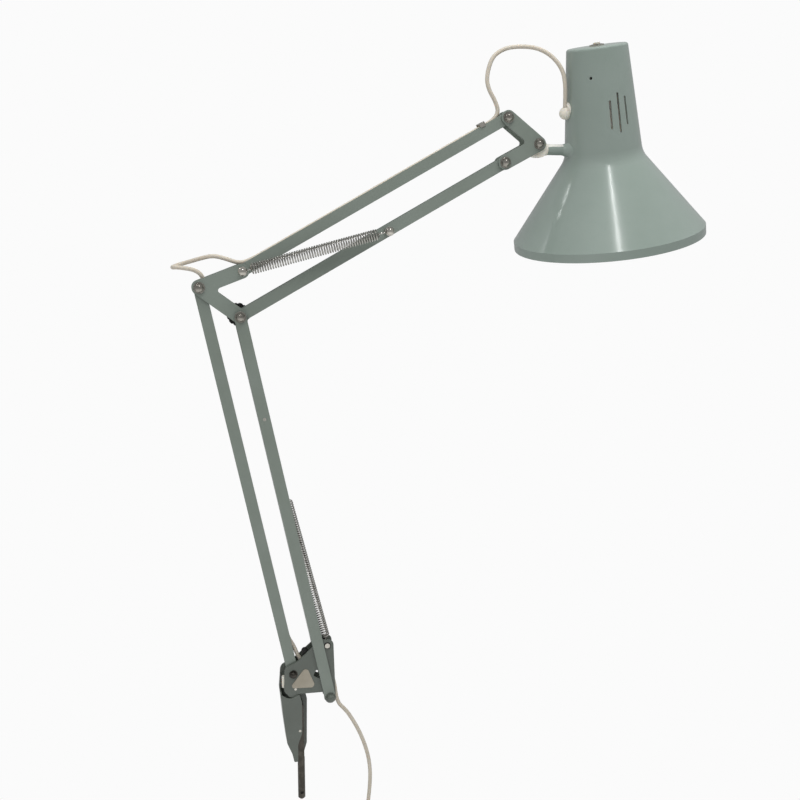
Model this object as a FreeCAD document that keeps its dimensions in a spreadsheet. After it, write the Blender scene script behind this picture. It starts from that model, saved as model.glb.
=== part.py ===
import FreeCAD, Part
import math
import os
from FreeCAD import Placement, Rotation, Vector

# Spring-balanced desk lamp on a pin. Millimetres, +Z up, arms in the XZ plane, near side at -Y.
# The origin is on the axis of the pin, at the lower end of the yoke, where a socket would stop.

doc = FreeCAD.newDocument("balance_lamp")
sheet = doc.addObject("Spreadsheet::Sheet", "Sizes")

DIMENSIONS = [
    ("plate_inner", 5.6), ("plate_thick", 1.6), ("link_half", 4.9), ("link_deep", 10.6), ("link_wall", 1.2),
    ("front_half", 9.6), ("bolt_radius", 2.5), ("running_gap", 0.05), ("dome_radius", 4.2), ("dome_rim", 1.2),
    ("washer_radius", 5.2), ("washer_thick", 0.5), ("lower_length", 375.0), ("lower_lean", 11.763),
    ("upper_length", 281.0), ("upper_rise", 29.4), ("pin_radius", 3.5), ("pin_free", 38.0), ("pin_inside", 62.0),
    ("yoke_sheet", 1.4), ("cord_radius", 1.9), ("spring_radius", 5.3), ("spring_wire", 0.75), ("rim_radius", 91.4),
    ("shade_height", 179.2), ("cap_radius", 27.7), ("shade_wall", 1.0), ("stem_radius", 5.0), ("spigot_radius", 2.5),
    ("knob_radius", 10.5), ("knob_thick", 8.0), ("bulb_radius", 29.0), ("holder_radius", 20.0),
    ("button_radius", 3.2), ("button_tall", 6.5), ("badge_thick", 0.6), ("rivet_radius", 1.3),
]
for row, (alias, value) in enumerate(DIMENSIONS, start=1):
    sheet.set("A%d" % row, alias)
    sheet.set("B%d" % row, str(value))
    sheet.setAlias("B%d" % row, alias)
doc.recompute()


def size(alias):
    return float(sheet.get(alias))


def bind(item, prop, formula):
    item.setExpression(prop, formula)


plate_inner = size("plate_inner")
plate_outer = plate_inner + size("plate_thick")
link_half = size("link_half")
front_half = size("front_half")
bolt_radius = size("bolt_radius")
cord_radius = size("cord_radius")
lean = math.radians(size("lower_lean"))
rise = math.radians(size("upper_rise"))

# Pivot places in the arm plane, as (x, z).
rear_base = (-6.8, 94.3)
base_link = (35.0, -26.0)
elbow_link = (37.4, 14.3)
fork_nose_offset = (30.0, -22.9)
front_base = (rear_base[0] + base_link[0], rear_base[1] + base_link[1])
lower_run = (-size("lower_length") * math.sin(lean), size("lower_length") * math.cos(lean))
upper_run = (size("upper_length") * math.cos(rise), size("upper_length") * math.sin(rise))


def shifted(point, step):
    return (point[0] + step[0], point[1] + step[1])


rear_elbow = shifted(rear_base, lower_run)
front_elbow = shifted(front_base, lower_run)
top_elbow = shifted(rear_elbow, elbow_link)
top_fork = shifted(top_elbow, upper_run)
bottom_fork = shifted(front_elbow, upper_run)
fork_nose = shifted(top_fork, fork_nose_offset)
spring_base = (26.1, 120.2)
upper_spring_end = (84.6, 511.8)

nodes = {}


def keep(item, label):
    item.Label = label
    nodes[label] = item
    return item


# ---- outlines -------------------------------------------------------------------------------------------------

def rounded_edges(points, radii):
    """Edges of a closed outline in the XZ plane whose corners have the given radii."""
    corners = []
    count = len(points)
    for i in range(count):
        here = Vector(points[i][0], points[i][1], 0)
        before = Vector(points[i - 1][0], points[i - 1][1], 0)
        after = Vector(points[(i + 1) % count][0], points[(i + 1) % count][1], 0)
        to_before = (before - here).normalize()
        to_after = (after - here).normalize()
        radius = radii[i]
        if radius == 0:
            corners.append((here, None, here))
            continue
        half = to_before.getAngle(to_after) / 2
        reach = radius / math.tan(half)
        middle = (to_before + to_after).normalize()
        centre = here + middle * (radius / math.sin(half))
        corners.append((here + to_before * reach, centre - middle * radius, here + to_after * reach))
    edges = []
    for i in range(count):
        start, mid, end = corners[i]
        if mid is not None:
            edges.append(Part.Arc(start, mid, end))
        following = corners[(i + 1) % count][0]
        if end.distanceToPoint(following) > 1e-4:
            edges.append(Part.LineSegment(end, following))
    return edges


def origin_plane(body, role):
    for feature in body.Origin.OriginFeatures:
        if feature.Role == role:
            return feature
    raise ValueError(role)


def plate(name, points, radii, thickness, y_top, holes=(), depth_formula=None):
    """A flat plate in the XZ plane whose face of larger Y lies at y_top."""
    body = doc.addObject("PartDesign::Body", name)
    outline = body.newObject("Sketcher::SketchObject", name + "_outline")
    outline.AttachmentSupport = [(origin_plane(body, "XZ_Plane"), "")]
    outline.MapMode = "FlatFace"
    for edge in rounded_edges(points, radii):
        outline.addGeometry(edge, False)
    for x, z, radius in holes:
        outline.addGeometry(Part.Circle(Vector(x, z, 0), Vector(0, 0, 1), radius), False)
    pad = body.newObject("PartDesign::Pad", name + "_pad")
    pad.Profile = outline
    pad.Length = thickness
    if depth_formula:
        bind(pad, "Length", depth_formula)
    body.Placement = Placement(Vector(0, y_top, 0), Rotation())
    return body


def v_outline(nose, end_a, end_b, radius, inner_radius):
    """A V of two limbs of one width that meet at the nose."""
    nose_v = Vector(nose[0], nose[1], 0)
    a = Vector(end_a[0], end_a[1], 0)
    b = Vector(end_b[0], end_b[1], 0)
    along_a = (a - nose_v).normalize()
    along_b = (b - nose_v).normalize()
    out_a = Vector(-along_a.y, along_a.x, 0)
    if out_a.dot(along_b) > 0:
        out_a = out_a * -1
    out_b = Vector(-along_b.y, along_b.x, 0)
    if out_b.dot(along_a) > 0:
        out_b = out_b * -1
    half = along_a.getAngle(along_b) / 2
    middle = (along_a + along_b).normalize()
    reach = radius / math.sin(half)
    points = [
        nose_v - middle * reach,
        a + (along_a + out_a) * radius,
        a + (along_a - out_a) * radius,
        nose_v + middle * reach,
        b + (along_b - out_b) * radius,
        b + (along_b + out_b) * radius,
    ]
    return [(p.x, p.y) for p in points], [radius, radius, radius, inner_radius, radius, radius]


# ---- fasteners ------------------------------------------------------------------------------------------------

AXIS_ALONG_Y = Rotation(Vector(1, 0, 0), -90)
AXIS_AGAINST_Y = Rotation(Vector(1, 0, 0), 90)


def cylinder_y(name, place, y_from, length, radius_formula):
    item = doc.addObject("Part::Cylinder", name)
    bind(item, "Radius", radius_formula)
    item.Height = length
    item.Placement = Placement(Vector(place[0], y_from, place[1]), AXIS_ALONG_Y)
    return item


def dome(name, place, y_face, sign):
    """A domed nut or head: a short rim and a half ball, standing on the face at y_face."""
    turn = AXIS_ALONG_Y if sign > 0 else AXIS_AGAINST_Y
    rim = doc.addObject("Part::Cylinder", name + "_rim")
    bind(rim, "Radius", "Sizes.dome_radius")
    bind(rim, "Height", "Sizes.dome_rim")
    rim.Placement = Placement(Vector(place[0], y_face, place[1]), turn)
    ball = doc.addObject("Part::Sphere", name + "_ball")
    bind(ball, "Radius", "Sizes.dome_radius")
    ball.Angle1 = 0
    ball.Placement = Placement(Vector(place[0], y_face + sign * size("dome_rim"), place[1]), turn)
    nut = doc.addObject("Part::MultiFuse", name)
    nut.Shapes = [rim, ball]
    return nut


def headed_bolt(name, place, y_head, y_end):
    """A pivot bolt with a domed head on the near side, whose shank ends at y_end."""
    shank = cylinder_y(name + "_shank", place, y_head, y_end - y_head, "Sizes.bolt_radius")
    head = dome(name + "_head", place, y_head, -1)
    bolt = doc.addObject("Part::MultiFuse", name)
    bolt.Shapes = [shank, head]
    return bolt


def group(label, items):
    """Identical pieces in one node, as separate solids."""
    joined = doc.addObject("Part::Compound", label)
    joined.Links = items
    return keep(joined, label)


def washer(name, place, y_from, sign=1):
    outer = cylinder_y(name + "_disc", place, y_from, size("washer_thick"), "Sizes.washer_radius")
    bore = cylinder_y(name + "_bore", place, y_from - 1, size("washer_thick") + 2,
                      "Sizes.bolt_radius + Sizes.running_gap")
    ring = doc.addObject("Part::Cut", name)
    ring.Base = outer
    ring.Tool = bore
    return ring


def washer_pair(name, place):
    gap = (plate_inner - link_half - size("washer_thick")) / 2
    near = washer(name + "_near", place, -plate_inner + gap)
    far = washer(name + "_far", place, link_half + gap)
    return [near, far]


# ---- arms -----------------------------------------------------------------------------------------------------

def channel(label, start, turn, length, half_width, open_side, web_from, web_to, extra_holes=()):
    """A folded channel along its own Z axis: side flanges with round ends, and a web on one edge."""
    body = doc.addObject("PartDesign::Body", label)
    deep = size("link_deep")
    wall = size("link_wall")
    edge = deep / 2
    side = body.newObject("Sketcher::SketchObject", label + "_side")
    side.AttachmentSupport = [(origin_plane(body, "XZ_Plane"), "")]
    side.MapMode = "FlatFace"
    corners = [(-edge, -edge), (edge, -edge), (edge, length + edge), (-edge, length + edge)]
    for piece in rounded_edges(corners, [edge, edge, edge, edge]):
        side.addGeometry(piece, False)
    for along, radius in [(0, bolt_radius + size("running_gap")), (length, bolt_radius + size("running_gap"))]:
        side.addGeometry(Part.Circle(Vector(0, along, 0), Vector(0, 0, 1), radius), False)
    for across, along, radius in extra_holes:
        side.addGeometry(Part.Circle(Vector(across, along, 0), Vector(0, 0, 1), radius), False)
    pad = body.newObject("PartDesign::Pad", label + "_pad")
    pad.Profile = side
    pad.Midplane = True
    pad.Length = 2 * half_width
    doc.recompute()
    solid_volume = body.Shape.Volume
    inside = body.newObject("Sketcher::SketchObject", label + "_inside")
    inside.AttachmentSupport = [(origin_plane(body, "XZ_Plane"), "")]
    inside.MapMode = "FlatFace"
    web = -open_side * (edge - wall)
    mouth = open_side * (edge + 1)
    back = -open_side * (edge + 1)
    low = -edge - 1
    high = length + edge + 1
    points = [(mouth, low), (back, low), (back, web_from), (web, web_from), (web, web_to), (back, web_to),
              (back, high), (mouth, high)]
    for piece in rounded_edges(points, [0] * len(points)):
        inside.addGeometry(piece, False)
    pocket = body.newObject("PartDesign::Pocket", label + "_pocket")
    pocket.Profile = inside
    pocket.Midplane = True
    pocket.Length = 2 * (half_width - wall)
    doc.recompute()
    if body.Shape.Volume > 0.6 * solid_volume:
        raise ValueError("the channel %s was not opened" % label)
    body.Placement = Placement(Vector(start[0], 0, start[1]), Rotation(Vector(0, 1, 0), turn))
    return keep(body, label)


LOWER_TURN = -size("lower_lean")
UPPER_TURN = 90 - size("upper_rise")
PLATE_REACH = 60
ELBOW_REACH = 50
SPRING_PIN_ALONG = 280.0
lower_length = size("lower_length")
upper_length = size("upper_length")

channel("rear_arm", rear_base, LOWER_TURN, lower_length, link_half, 1, 9, lower_length - 9)
channel("front_arm", front_base, LOWER_TURN, lower_length, front_half, 1, PLATE_REACH, lower_length - ELBOW_REACH,
        [(0, SPRING_PIN_ALONG, 1.5)])


def along_arm(start, turn, across, along):
    """A place in the arm plane given in an arm's own frame."""
    angle = math.radians(turn)
    x = start[0] + across * math.cos(angle) + along * math.sin(angle)
    z = start[1] - across * math.sin(angle) + along * math.cos(angle)
    return (x, z)


bottom_vector = Vector(upper_spring_end[0] - front_elbow[0], upper_spring_end[1] - front_elbow[1], 0)
bottom_axis = Vector(math.cos(rise), math.sin(rise), 0)
stud_along = bottom_vector.dot(bottom_axis)
stud_place = along_arm(front_elbow, UPPER_TURN, 0, stud_along)
channel("upper_top_bar", top_elbow, UPPER_TURN, upper_length, link_half, -1, 9, upper_length - 9)
channel("upper_bottom_bar", front_elbow, UPPER_TURN, upper_length, link_half, -1, 9, upper_length - 9,
        [(0, stud_along, bolt_radius)])

# ---- base -----------------------------------------------------------------------------------------------------

BASE_OUTLINE = [(-15.0, 101.5), (-3.0, 106.7), (20.0, 126.6), (31.9, 125.4), (33.7, 62.9), (22.9, 62.9),
                (22.0, 73.6), (-1.0, 74.0), (-9.5, 70.0), (-16.0, 78.0)]
BASE_RADII = [7, 14, 5, 5, 5.2, 5.2, 1.5, 6, 4, 5]
base_holes = [(rear_base[0], rear_base[1], bolt_radius), (front_base[0], front_base[1], bolt_radius),
              (spring_base[0], spring_base[1], bolt_radius), (-5.0, 79.0, size("rivet_radius"))]
WINDOW = [(15.9, 98.2), (12.0, 91.0), (20.5, 86.5)]
WINDOW_RADII = [1.2, 1.6, 1.2]


def base_plate(label, y_top):
    body = plate(label, BASE_OUTLINE, BASE_RADII, size("plate_thick"), y_top, base_holes, "Sizes.plate_thick")
    cut_sketch = body.newObject("Sketcher::SketchObject", label + "_window")
    cut_sketch.AttachmentSupport = [(origin_plane(body, "XZ_Plane"), "")]
    cut_sketch.MapMode = "FlatFace"
    for piece in rounded_edges(WINDOW, WINDOW_RADII):
        cut_sketch.addGeometry(piece, False)
    doc.recompute()
    before = body.Shape.Volume
    window = body.newObject("PartDesign::Pocket", label + "_window_cut")
    window.Profile = cut_sketch
    window.Midplane = True
    window.Length = 20
    doc.recompute()
    if body.Shape.Volume >= before - 1:
        raise ValueError("the window of %s cut nothing" % label)
    return keep(body, label)


base_plate("base_plate_near", -plate_inner)
base_plate("base_plate_far", plate_outer)

BADGE = [(5.7, 101.5), (-11.0, 80.6), (14.6, 79.4)]
keep(plate("badge_plate", BADGE, [3.2, 2.6, 3.2], size("badge_thick"), -plate_outer, (), "Sizes.badge_thick"),
     "badge_plate")

keep(cylinder_y("stop_buffer", (5.5, 112.5), -plate_inner, 2 * plate_inner, "Sizes.dome_radius - 1.2"), "stop_buffer")

front_face = front_half + 0.1
group("base_bolts", [headed_bolt("rear_arm_bolt", rear_base, -plate_outer, plate_outer),
                     headed_bolt("front_arm_bolt", front_base, -front_face, front_face)])
group("base_nuts", [dome("rear_arm_nut", rear_base, plate_outer, 1),
                    dome("front_arm_nut", front_base, front_face, 1)])
keep(cylinder_y("lower_spring_anchor", spring_base, -plate_outer - 0.7, 2 * plate_outer + 1.4, "Sizes.bolt_radius"),
     "lower_spring_anchor")
group("base_washers", washer_pair("base_washer", rear_base))

# The yoke is one folded sheet, open to the right: a low near flange, a tall far flange and the fold between them.
YOKE_OUTLINE = [(-17.5, 101.0), (-3.0, 101.0), (4.5, 74.0), (7.4, 62.0), (6.6, 16.0), (3.6, 6.0), (-7.4, 5.0),
                (-9.4, 14.0), (-14.0, 25.0), (-17.2, 52.0), (-19.6, 78.0)]
YOKE_RADII = [7, 8, 6, 8, 5, 2, 1.5, 6, 6, 20, 12]
INSIDE = [(-40, 91), (-18.1, 91), (-18.2, 78), (-15.8, 52), (-12.6, 25.3), (-8.0, 14.3), (-6.2, -9), (30, -9),
          (30, 130), (-40, 130)]
NEAR_ROOM = [(-40, 74.5), (-17.6, 74.5), (-11.0, 69.0), (-1.5, 74.5), (0.8, 66.0), (0.6, 34.0), (-3.6, 23.0),
             (-3.8, -9), (30, -9), (30, 130), (-40, 130)]
NEAR_ROOM_RADII = [0, 2, 8, 2, 6, 8, 3, 0, 0, 0, 0]
yoke_sheet = size("yoke_sheet")
YOKE_OUTER = plate_outer + yoke_sheet
yoke_blank = plate("yoke_blank", YOKE_OUTLINE, YOKE_RADII, 2 * YOKE_OUTER, YOKE_OUTER)
yoke_inside = plate("yoke_inside", INSIDE, [0] * len(INSIDE), 2 * plate_outer, plate_outer)
yoke_near_room = plate("yoke_near_room", NEAR_ROOM, NEAR_ROOM_RADII, 10, -plate_outer + 0.1)
bush_room = doc.addObject("Part::Box", "yoke_bush_room")
bush_room.Length = 12
bush_room.Width = 12.8
bush_room.Height = 16
bush_room.Placement = Placement(Vector(-26, -9, 76.2), Rotation())
yoke_tools = doc.addObject("Part::MultiFuse", "yoke_tools")
yoke_tools.Shapes = [
    yoke_inside, yoke_near_room, bush_room,
    cylinder_y("pin_rivet_hole", (-1.5, 36.6), -20, 40, "Sizes.rivet_radius"),
    cylinder_y("plate_rivet_hole", (-5.0, 79.0), 0, 20, "Sizes.rivet_radius"),
    cylinder_y("nut_hole", rear_base, 0, 20, "Sizes.dome_radius")]
yoke = doc.addObject("Part::Cut", "yoke")
yoke.Base = yoke_blank
yoke.Tool = yoke_tools
keep(yoke, "yoke")

bush = doc.addObject("Part::Cylinder", "yoke_bush")
bush.Radius = 2.4
bush.Height = 11.0
bush.Placement = Placement(Vector(-15.2, -2.9, 80.6), Rotation())
keep(bush, "yoke_bush")

# The pin has a cross hole near its end for a split pin, and a flat block that the yoke is riveted to.
pin_shaft = doc.addObject("Part::Cylinder", "pin_shaft")
bind(pin_shaft, "Radius", "Sizes.pin_radius")
bind(pin_shaft, "Height", "Sizes.pin_free + 3.5")
pin_block = doc.addObject("Part::Box", "pin_block")
pin_block.Length = 8
bind(pin_block, "Width", "2 * (Sizes.plate_inner + Sizes.plate_thick)")
bind(pin_block, "Height", "Sizes.pin_inside - 5")
pin_block.Placement = Placement(Vector(-5.6, -plate_outer, 5), Rotation())
pin_shaft.Placement = Placement(Vector(0, 0, -size("pin_free") + 1.5), Rotation())
pin_end = doc.addObject("Part::Cone", "pin_end")
bind(pin_end, "Radius2", "Sizes.pin_radius")
bind(pin_end, "Radius1", "Sizes.pin_radius - 1.5")
pin_end.Height = 1.5
pin_end.Placement = Placement(Vector(0, 0, -size("pin_free")), Rotation())
pin_solid = doc.addObject("Part::MultiFuse", "pin_solid")
pin_solid.Shapes = [pin_shaft, pin_end, pin_block]
cross_hole = cylinder_y("pin_cross_hole", (0, -30.5), -8, 16, "Sizes.rivet_radius + 0.2")
pin_rivet_room = cylinder_y("pin_rivet_room", (-1.5, 36.6), -8, 16, "Sizes.rivet_radius")
pin_tools = doc.addObject("Part::MultiFuse", "pin_tools")
pin_tools.Shapes = [cross_hole, pin_rivet_room]
swivel_pin = doc.addObject("Part::Cut", "swivel_pin")
swivel_pin.Base = pin_solid
swivel_pin.Tool = pin_tools
keep(swivel_pin, "swivel_pin")

group("yoke_rivets", [
    cylinder_y("pin_rivet", (-1.5, 36.6), -YOKE_OUTER, 2 * YOKE_OUTER, "Sizes.rivet_radius"),
    cylinder_y("plate_rivet", (-5.0, 79.0), -plate_outer, plate_outer + YOKE_OUTER, "Sizes.rivet_radius")])

# ---- front arm fittings and the elbow -------------------------------------------------------------------------

spring_pin_place = along_arm(front_base, LOWER_TURN, 0, SPRING_PIN_ALONG)
spring_pin = doc.addObject("Part::Cylinder", "front_arm_spring_pin")
spring_pin.Radius = 1.5
bind(spring_pin, "Height", "2 * Sizes.front_half")
spring_pin.Placement = Placement(Vector(spring_pin_place[0], -front_half, spring_pin_place[1]), AXIS_ALONG_Y)
keep(spring_pin, "front_arm_spring_pin")

PLATE_RADIUS = 6.6
V_RADIUS = 2.6
elbow_points, elbow_radii = v_outline(rear_elbow, top_elbow, front_elbow, PLATE_RADIUS, V_RADIUS)
fork_points, fork_radii = v_outline(fork_nose, top_fork, bottom_fork, PLATE_RADIUS, V_RADIUS)
elbow_holes = [(p[0], p[1], bolt_radius) for p in (rear_elbow, top_elbow, front_elbow)]
fork_holes = [(p[0], p[1], bolt_radius) for p in (top_fork, bottom_fork, fork_nose)]
for side, y_top in (("near", -plate_inner), ("far", plate_outer)):
    keep(plate("elbow_plate_" + side, elbow_points, elbow_radii, size("plate_thick"), y_top, elbow_holes,
               "Sizes.plate_thick"), "elbow_plate_" + side)
    keep(plate("fork_plate_" + side, fork_points, fork_radii, size("plate_thick"), y_top, fork_holes,
               "Sizes.plate_thick"), "fork_plate_" + side)

UPPER_SPRING_Y = -16.0
STUD_HEAD = UPPER_SPRING_Y - 2.0
KNOB_FACE = 22.0
group("elbow_bolts", [headed_bolt("elbow_rear_bolt", rear_elbow, -plate_outer, plate_outer),
                      headed_bolt("elbow_front_bolt", front_elbow, -front_face, KNOB_FACE)])
keep(headed_bolt("elbow_spring_stud", top_elbow, STUD_HEAD, plate_outer), "elbow_spring_stud")
group("elbow_nuts", [dome("elbow_rear_nut", rear_elbow, plate_outer, 1),
                     dome("elbow_stud_nut", top_elbow, plate_outer, 1)])
group("elbow_washers", washer_pair("elbow_rear_washer", rear_elbow)
      + washer_pair("elbow_top_washer", top_elbow) + washer_pair("elbow_front_washer", front_elbow))

knob_disc = cylinder_y("knob_disc", front_elbow, KNOB_FACE, size("knob_thick"), "Sizes.knob_radius")
bind(knob_disc, "Height", "Sizes.knob_thick")
knob_hub = cylinder_y("knob_hub", front_elbow, front_face, KNOB_FACE - front_face + 1, "Sizes.dome_radius + 0.4")
knob_bore = cylinder_y("knob_bore", front_elbow, front_face - 1, KNOB_FACE - front_face + 1, "Sizes.bolt_radius")
knob_blank = doc.addObject("Part::MultiFuse", "knob_blank")
knob_blank.Shapes = [knob_disc, knob_hub]
knob_flutes = []
FLUTES = 12
for i in range(FLUTES):
    angle = 2 * math.pi * i / FLUTES
    place = (front_elbow[0] + (size("knob_radius") + 0.9) * math.cos(angle),
             front_elbow[1] + (size("knob_radius") + 0.9) * math.sin(angle))
    flute = cylinder_y("knob_flute_%d" % i, place, KNOB_FACE - 0.5, size("knob_thick") + 1, "Sizes.rivet_radius + 0.3")
    knob_flutes.append(flute)
knob_tools = doc.addObject("Part::MultiFuse", "knob_tools")
knob_tools.Shapes = knob_flutes + [knob_bore]
knob = doc.addObject("Part::Cut", "friction_knob")
knob.Base = knob_blank
knob.Tool = knob_tools
keep(knob, "friction_knob")

keep(headed_bolt("bottom_bar_spring_stud", stud_place, STUD_HEAD, link_half + 0.6), "bottom_bar_spring_stud")

# ---- head fork and knuckle ------------------------------------------------------------------------------------

fork_places = [("fork_top", top_fork), ("fork_bottom", bottom_fork), ("fork_nose", fork_nose)]
group("fork_bolts", [headed_bolt(name + "_bolt", place, -plate_outer, plate_outer) for name, place in fork_places])
group("fork_nuts", [dome(name + "_nut", place, plate_outer, 1) for name, place in fork_places])
group("fork_washers", [ring for name, place in fork_places for ring in washer_pair(name + "_washer", place)])

STEM_Z = 586.4
TONGUE = [(219.5, 579.0), (236.8, 579.0), (236.8, 592.0), (232.5, 597.2), (222.0, 597.2)]
tongue = plate("knuckle_tongue", TONGUE, [8, 5, 3, 4, 5], 2 * link_half, link_half,
               [(fork_nose[0], fork_nose[1], bolt_radius + size("running_gap"))])
spigot = doc.addObject("Part::Cylinder", "knuckle_spigot")
bind(spigot, "Radius", "Sizes.spigot_radius")
spigot.Height = 18
spigot.Placement = Placement(Vector(235.8, 0, STEM_Z), Rotation(Vector(0, 1, 0), 90))
knuckle = doc.addObject("Part::MultiFuse", "knuckle")
knuckle.Shapes = [tongue, spigot]
keep(knuckle, "knuckle")

collar_disc = doc.addObject("Part::Cylinder", "collar_disc")
collar_disc.Radius = 5.4
collar_disc.Height = 2.0
collar_disc.Placement = Placement(Vector(236.8, 0, STEM_Z), Rotation(Vector(0, 1, 0), 90))
collar_bore = doc.addObject("Part::Cylinder", "collar_bore")
bind(collar_bore, "Radius", "Sizes.spigot_radius")
collar_bore.Height = 4
collar_bore.Placement = Placement(Vector(235.8, 0, STEM_Z), Rotation(Vector(0, 1, 0), 90))
collar = doc.addObject("Part::Cut", "knuckle_collar")
collar.Base = collar_disc
collar.Tool = collar_bore
keep(collar, "knuckle_collar")

# ---- shade ----------------------------------------------------------------------------------------------------

# The shade leans a little to the left and towards the near side, as it hangs at rest.
SHADE_AXIS = Vector(-0.1735, -0.1677, 0.9705)
SHADE_CENTRE = Vector(310.2, 14.3, 504.1)
SHADE_PLACE = Placement(SHADE_CENTRE, Rotation(Vector(0, 0, 1), SHADE_AXIS))
rim_radius = size("rim_radius")
shade_height = size("shade_height")
cap_radius = size("cap_radius")
wall = size("shade_wall")
NECK_LOW_RADIUS = 36.4
NECK_LOW = 80.5

# Outside profile as (radius, height) with the corner radii; the inside is the same profile, one wall in.
OUTER = [(0.0, shade_height), (cap_radius, shade_height), (NECK_LOW_RADIUS, NECK_LOW), (rim_radius - 1.2, 9.5),
         (rim_radius, 8.0), (rim_radius, 0.0)]
INNER = [(rim_radius - wall, 0.0), (rim_radius - wall, 7.4), (rim_radius - 2.4, 8.6),
         (NECK_LOW_RADIUS - wall, NECK_LOW - 0.8), (cap_radius - wall, shade_height - wall), (0.0, shade_height - wall)]
PROFILE = OUTER + INNER
PROFILE_RADII = [0, 2.6, 22, 3, 0, 0, 0, 0, 2, 23, 1.6, 0]


def revolved(name, points, radii, place):
    body = doc.addObject("PartDesign::Body", name)
    profile = body.newObject("Sketcher::SketchObject", name + "_profile")
    profile.AttachmentSupport = [(origin_plane(body, "XZ_Plane"), "")]
    profile.MapMode = "FlatFace"
    for piece in rounded_edges(points, radii):
        profile.addGeometry(piece, False)
    turn = body.newObject("PartDesign::Revolution", name + "_turn")
    turn.Profile = profile
    turn.ReferenceAxis = (profile, ["V_Axis"])
    turn.Angle = 360
    body.Placement = place
    return body


def in_shade(item, local):
    item.Placement = SHADE_PLACE.multiply(local)
    return item


def shade_cylinder(name, radius, low, high, x=0.0, y=0.0):
    item = doc.addObject("Part::Cylinder", name)
    item.Radius = radius
    item.Height = high - low
    return in_shade(item, Placement(Vector(x, y, low), Rotation()))


shade_blank = revolved("shade_blank", PROFILE, PROFILE_RADII, SHADE_PLACE)
to_shade = SHADE_PLACE.inverse()
SLOT_WIDTH = 2.0
SLOT_STEP = 14.0
SLOT_CENTRES = (-84.0, 96.0)
SLOTS = [(-1, 107.5, 132.5), (0, 103.5, 138.5), (1, 109.5, 134.5)]
shade_tools = []
for centre in SLOT_CENTRES:
    for step, low, high in SLOTS:
        slot = doc.addObject("Part::Box", "vent_slot")
        slot.Length = 12
        slot.Width = SLOT_WIDTH
        slot.Height = high - low
        turn = Rotation(Vector(0, 0, 1), centre + step * SLOT_STEP)
        corner = turn.multVec(Vector(26, -SLOT_WIDTH / 2, 0)) + Vector(0, 0, low)
        shade_tools.append(in_shade(slot, Placement(corner, turn)))
screw_hole = doc.addObject("Part::Cylinder", "screw_hole")
screw_hole.Radius = 1.3
screw_hole.Height = 14
HOLE_TURN = Rotation(Vector(0, 0, 1), -127)
screw_local = Placement(HOLE_TURN.multVec(Vector(22, 0, 0)) + Vector(0, 0, 153.5),
                        HOLE_TURN.multiply(Rotation(Vector(0, 1, 0), 90)))
shade_tools.append(in_shade(screw_hole, screw_local))
shade_tools.append(shade_cylinder("switch_hole", 5.0, shade_height - 4, shade_height + 4))

STUD_X = 252.0
bracket_hole = doc.addObject("Part::Cylinder", "bracket_hole")
bracket_hole.Radius = 2.5
bracket_hole.Height = 25
bracket_hole.Placement = Placement(Vector(STUD_X, 0, STEM_Z), Rotation(Vector(0, 1, 0), 90))
shade_tools.append(bracket_hole)

# The grommet sits on the left of the neck, above the bracket.
GROMMET_H = 126.5
GROMMET_TURN = Rotation(Vector(0, 0, 1), 180)
grommet_hole = doc.addObject("Part::Cylinder", "grommet_hole")
grommet_hole.Radius = 3.4
grommet_hole.Height = 16
grommet_local = Placement(GROMMET_TURN.multVec(Vector(22, 0, 0)) + Vector(0, 0, GROMMET_H),
                          GROMMET_TURN.multiply(Rotation(Vector(0, 1, 0), 90)))
shade_tools.append(in_shade(grommet_hole, grommet_local))
tool_joined = doc.addObject("Part::MultiFuse", "shade_tools")
tool_joined.Shapes = shade_tools
shade = doc.addObject("Part::Cut", "shade_shell")
shade.Base = shade_blank
shade.Tool = tool_joined
keep(shade, "shade_shell")

# The bracket: a tube that turns on the spigot, flared into an oval foot shaped to the neck.
neck_solid = revolved("neck_solid", [(0, shade_height), (cap_radius, shade_height), (NECK_LOW_RADIUS, NECK_LOW),
                                     (rim_radius - 1.2, 9.5), (0, 9.5)], [0, 2.6, 22, 0, 0], SHADE_PLACE)
doc.recompute()


def ellipse_wire(x, half_y, half_z, centre_z):
    curve = Part.Ellipse(Vector(0, 0, 0), max(half_y, half_z), min(half_y, half_z))
    wire = Part.Wire(curve.toShape())
    if half_y >= half_z:
        frame = Rotation(Vector(0, 1, 0), Vector(0, 0, 1), Vector(1, 0, 0), "XYZ")
    else:
        frame = Rotation(Vector(0, 0, 1), Vector(0, -1, 0), Vector(1, 0, 0), "XYZ")
    wire.Placement = Placement(Vector(x, 0, centre_z), frame)
    return wire


stem_radius = size("stem_radius")
tube = Part.makeCylinder(stem_radius, 18.2, Vector(239.0, 0, STEM_Z), Vector(1, 0, 0))
flare = Part.makeLoft([ellipse_wire(254.0, stem_radius, stem_radius, STEM_Z),
                       ellipse_wire(258.5, 7.6, 6.6, STEM_Z),
                       ellipse_wire(263.0, 15.0, 9.4, STEM_Z),
                       ellipse_wire(268.0, 21.5, 10.6, STEM_Z)], True)
screw = Part.makeCylinder(2.5, 14, Vector(257, 0, STEM_Z), Vector(1, 0, 0))
spigot_bore = Part.makeCylinder(size("spigot_radius") + 0.05, 17, Vector(238.5, 0, STEM_Z), Vector(1, 0, 0))
neck_full = neck_solid.Shape.copy()
bracket_shape = tube.fuse(flare).cut(neck_full).cut(spigot_bore)
bracket_shape = bracket_shape.fuse(screw.common(neck_full.fuse(flare))).removeSplitter()
bracket = doc.addObject("Part::Feature", "shade_bracket")
bracket.Shape = bracket_shape.Solids[0] if len(bracket_shape.Solids) == 1 else bracket_shape
keep(bracket, "shade_bracket")

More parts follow.
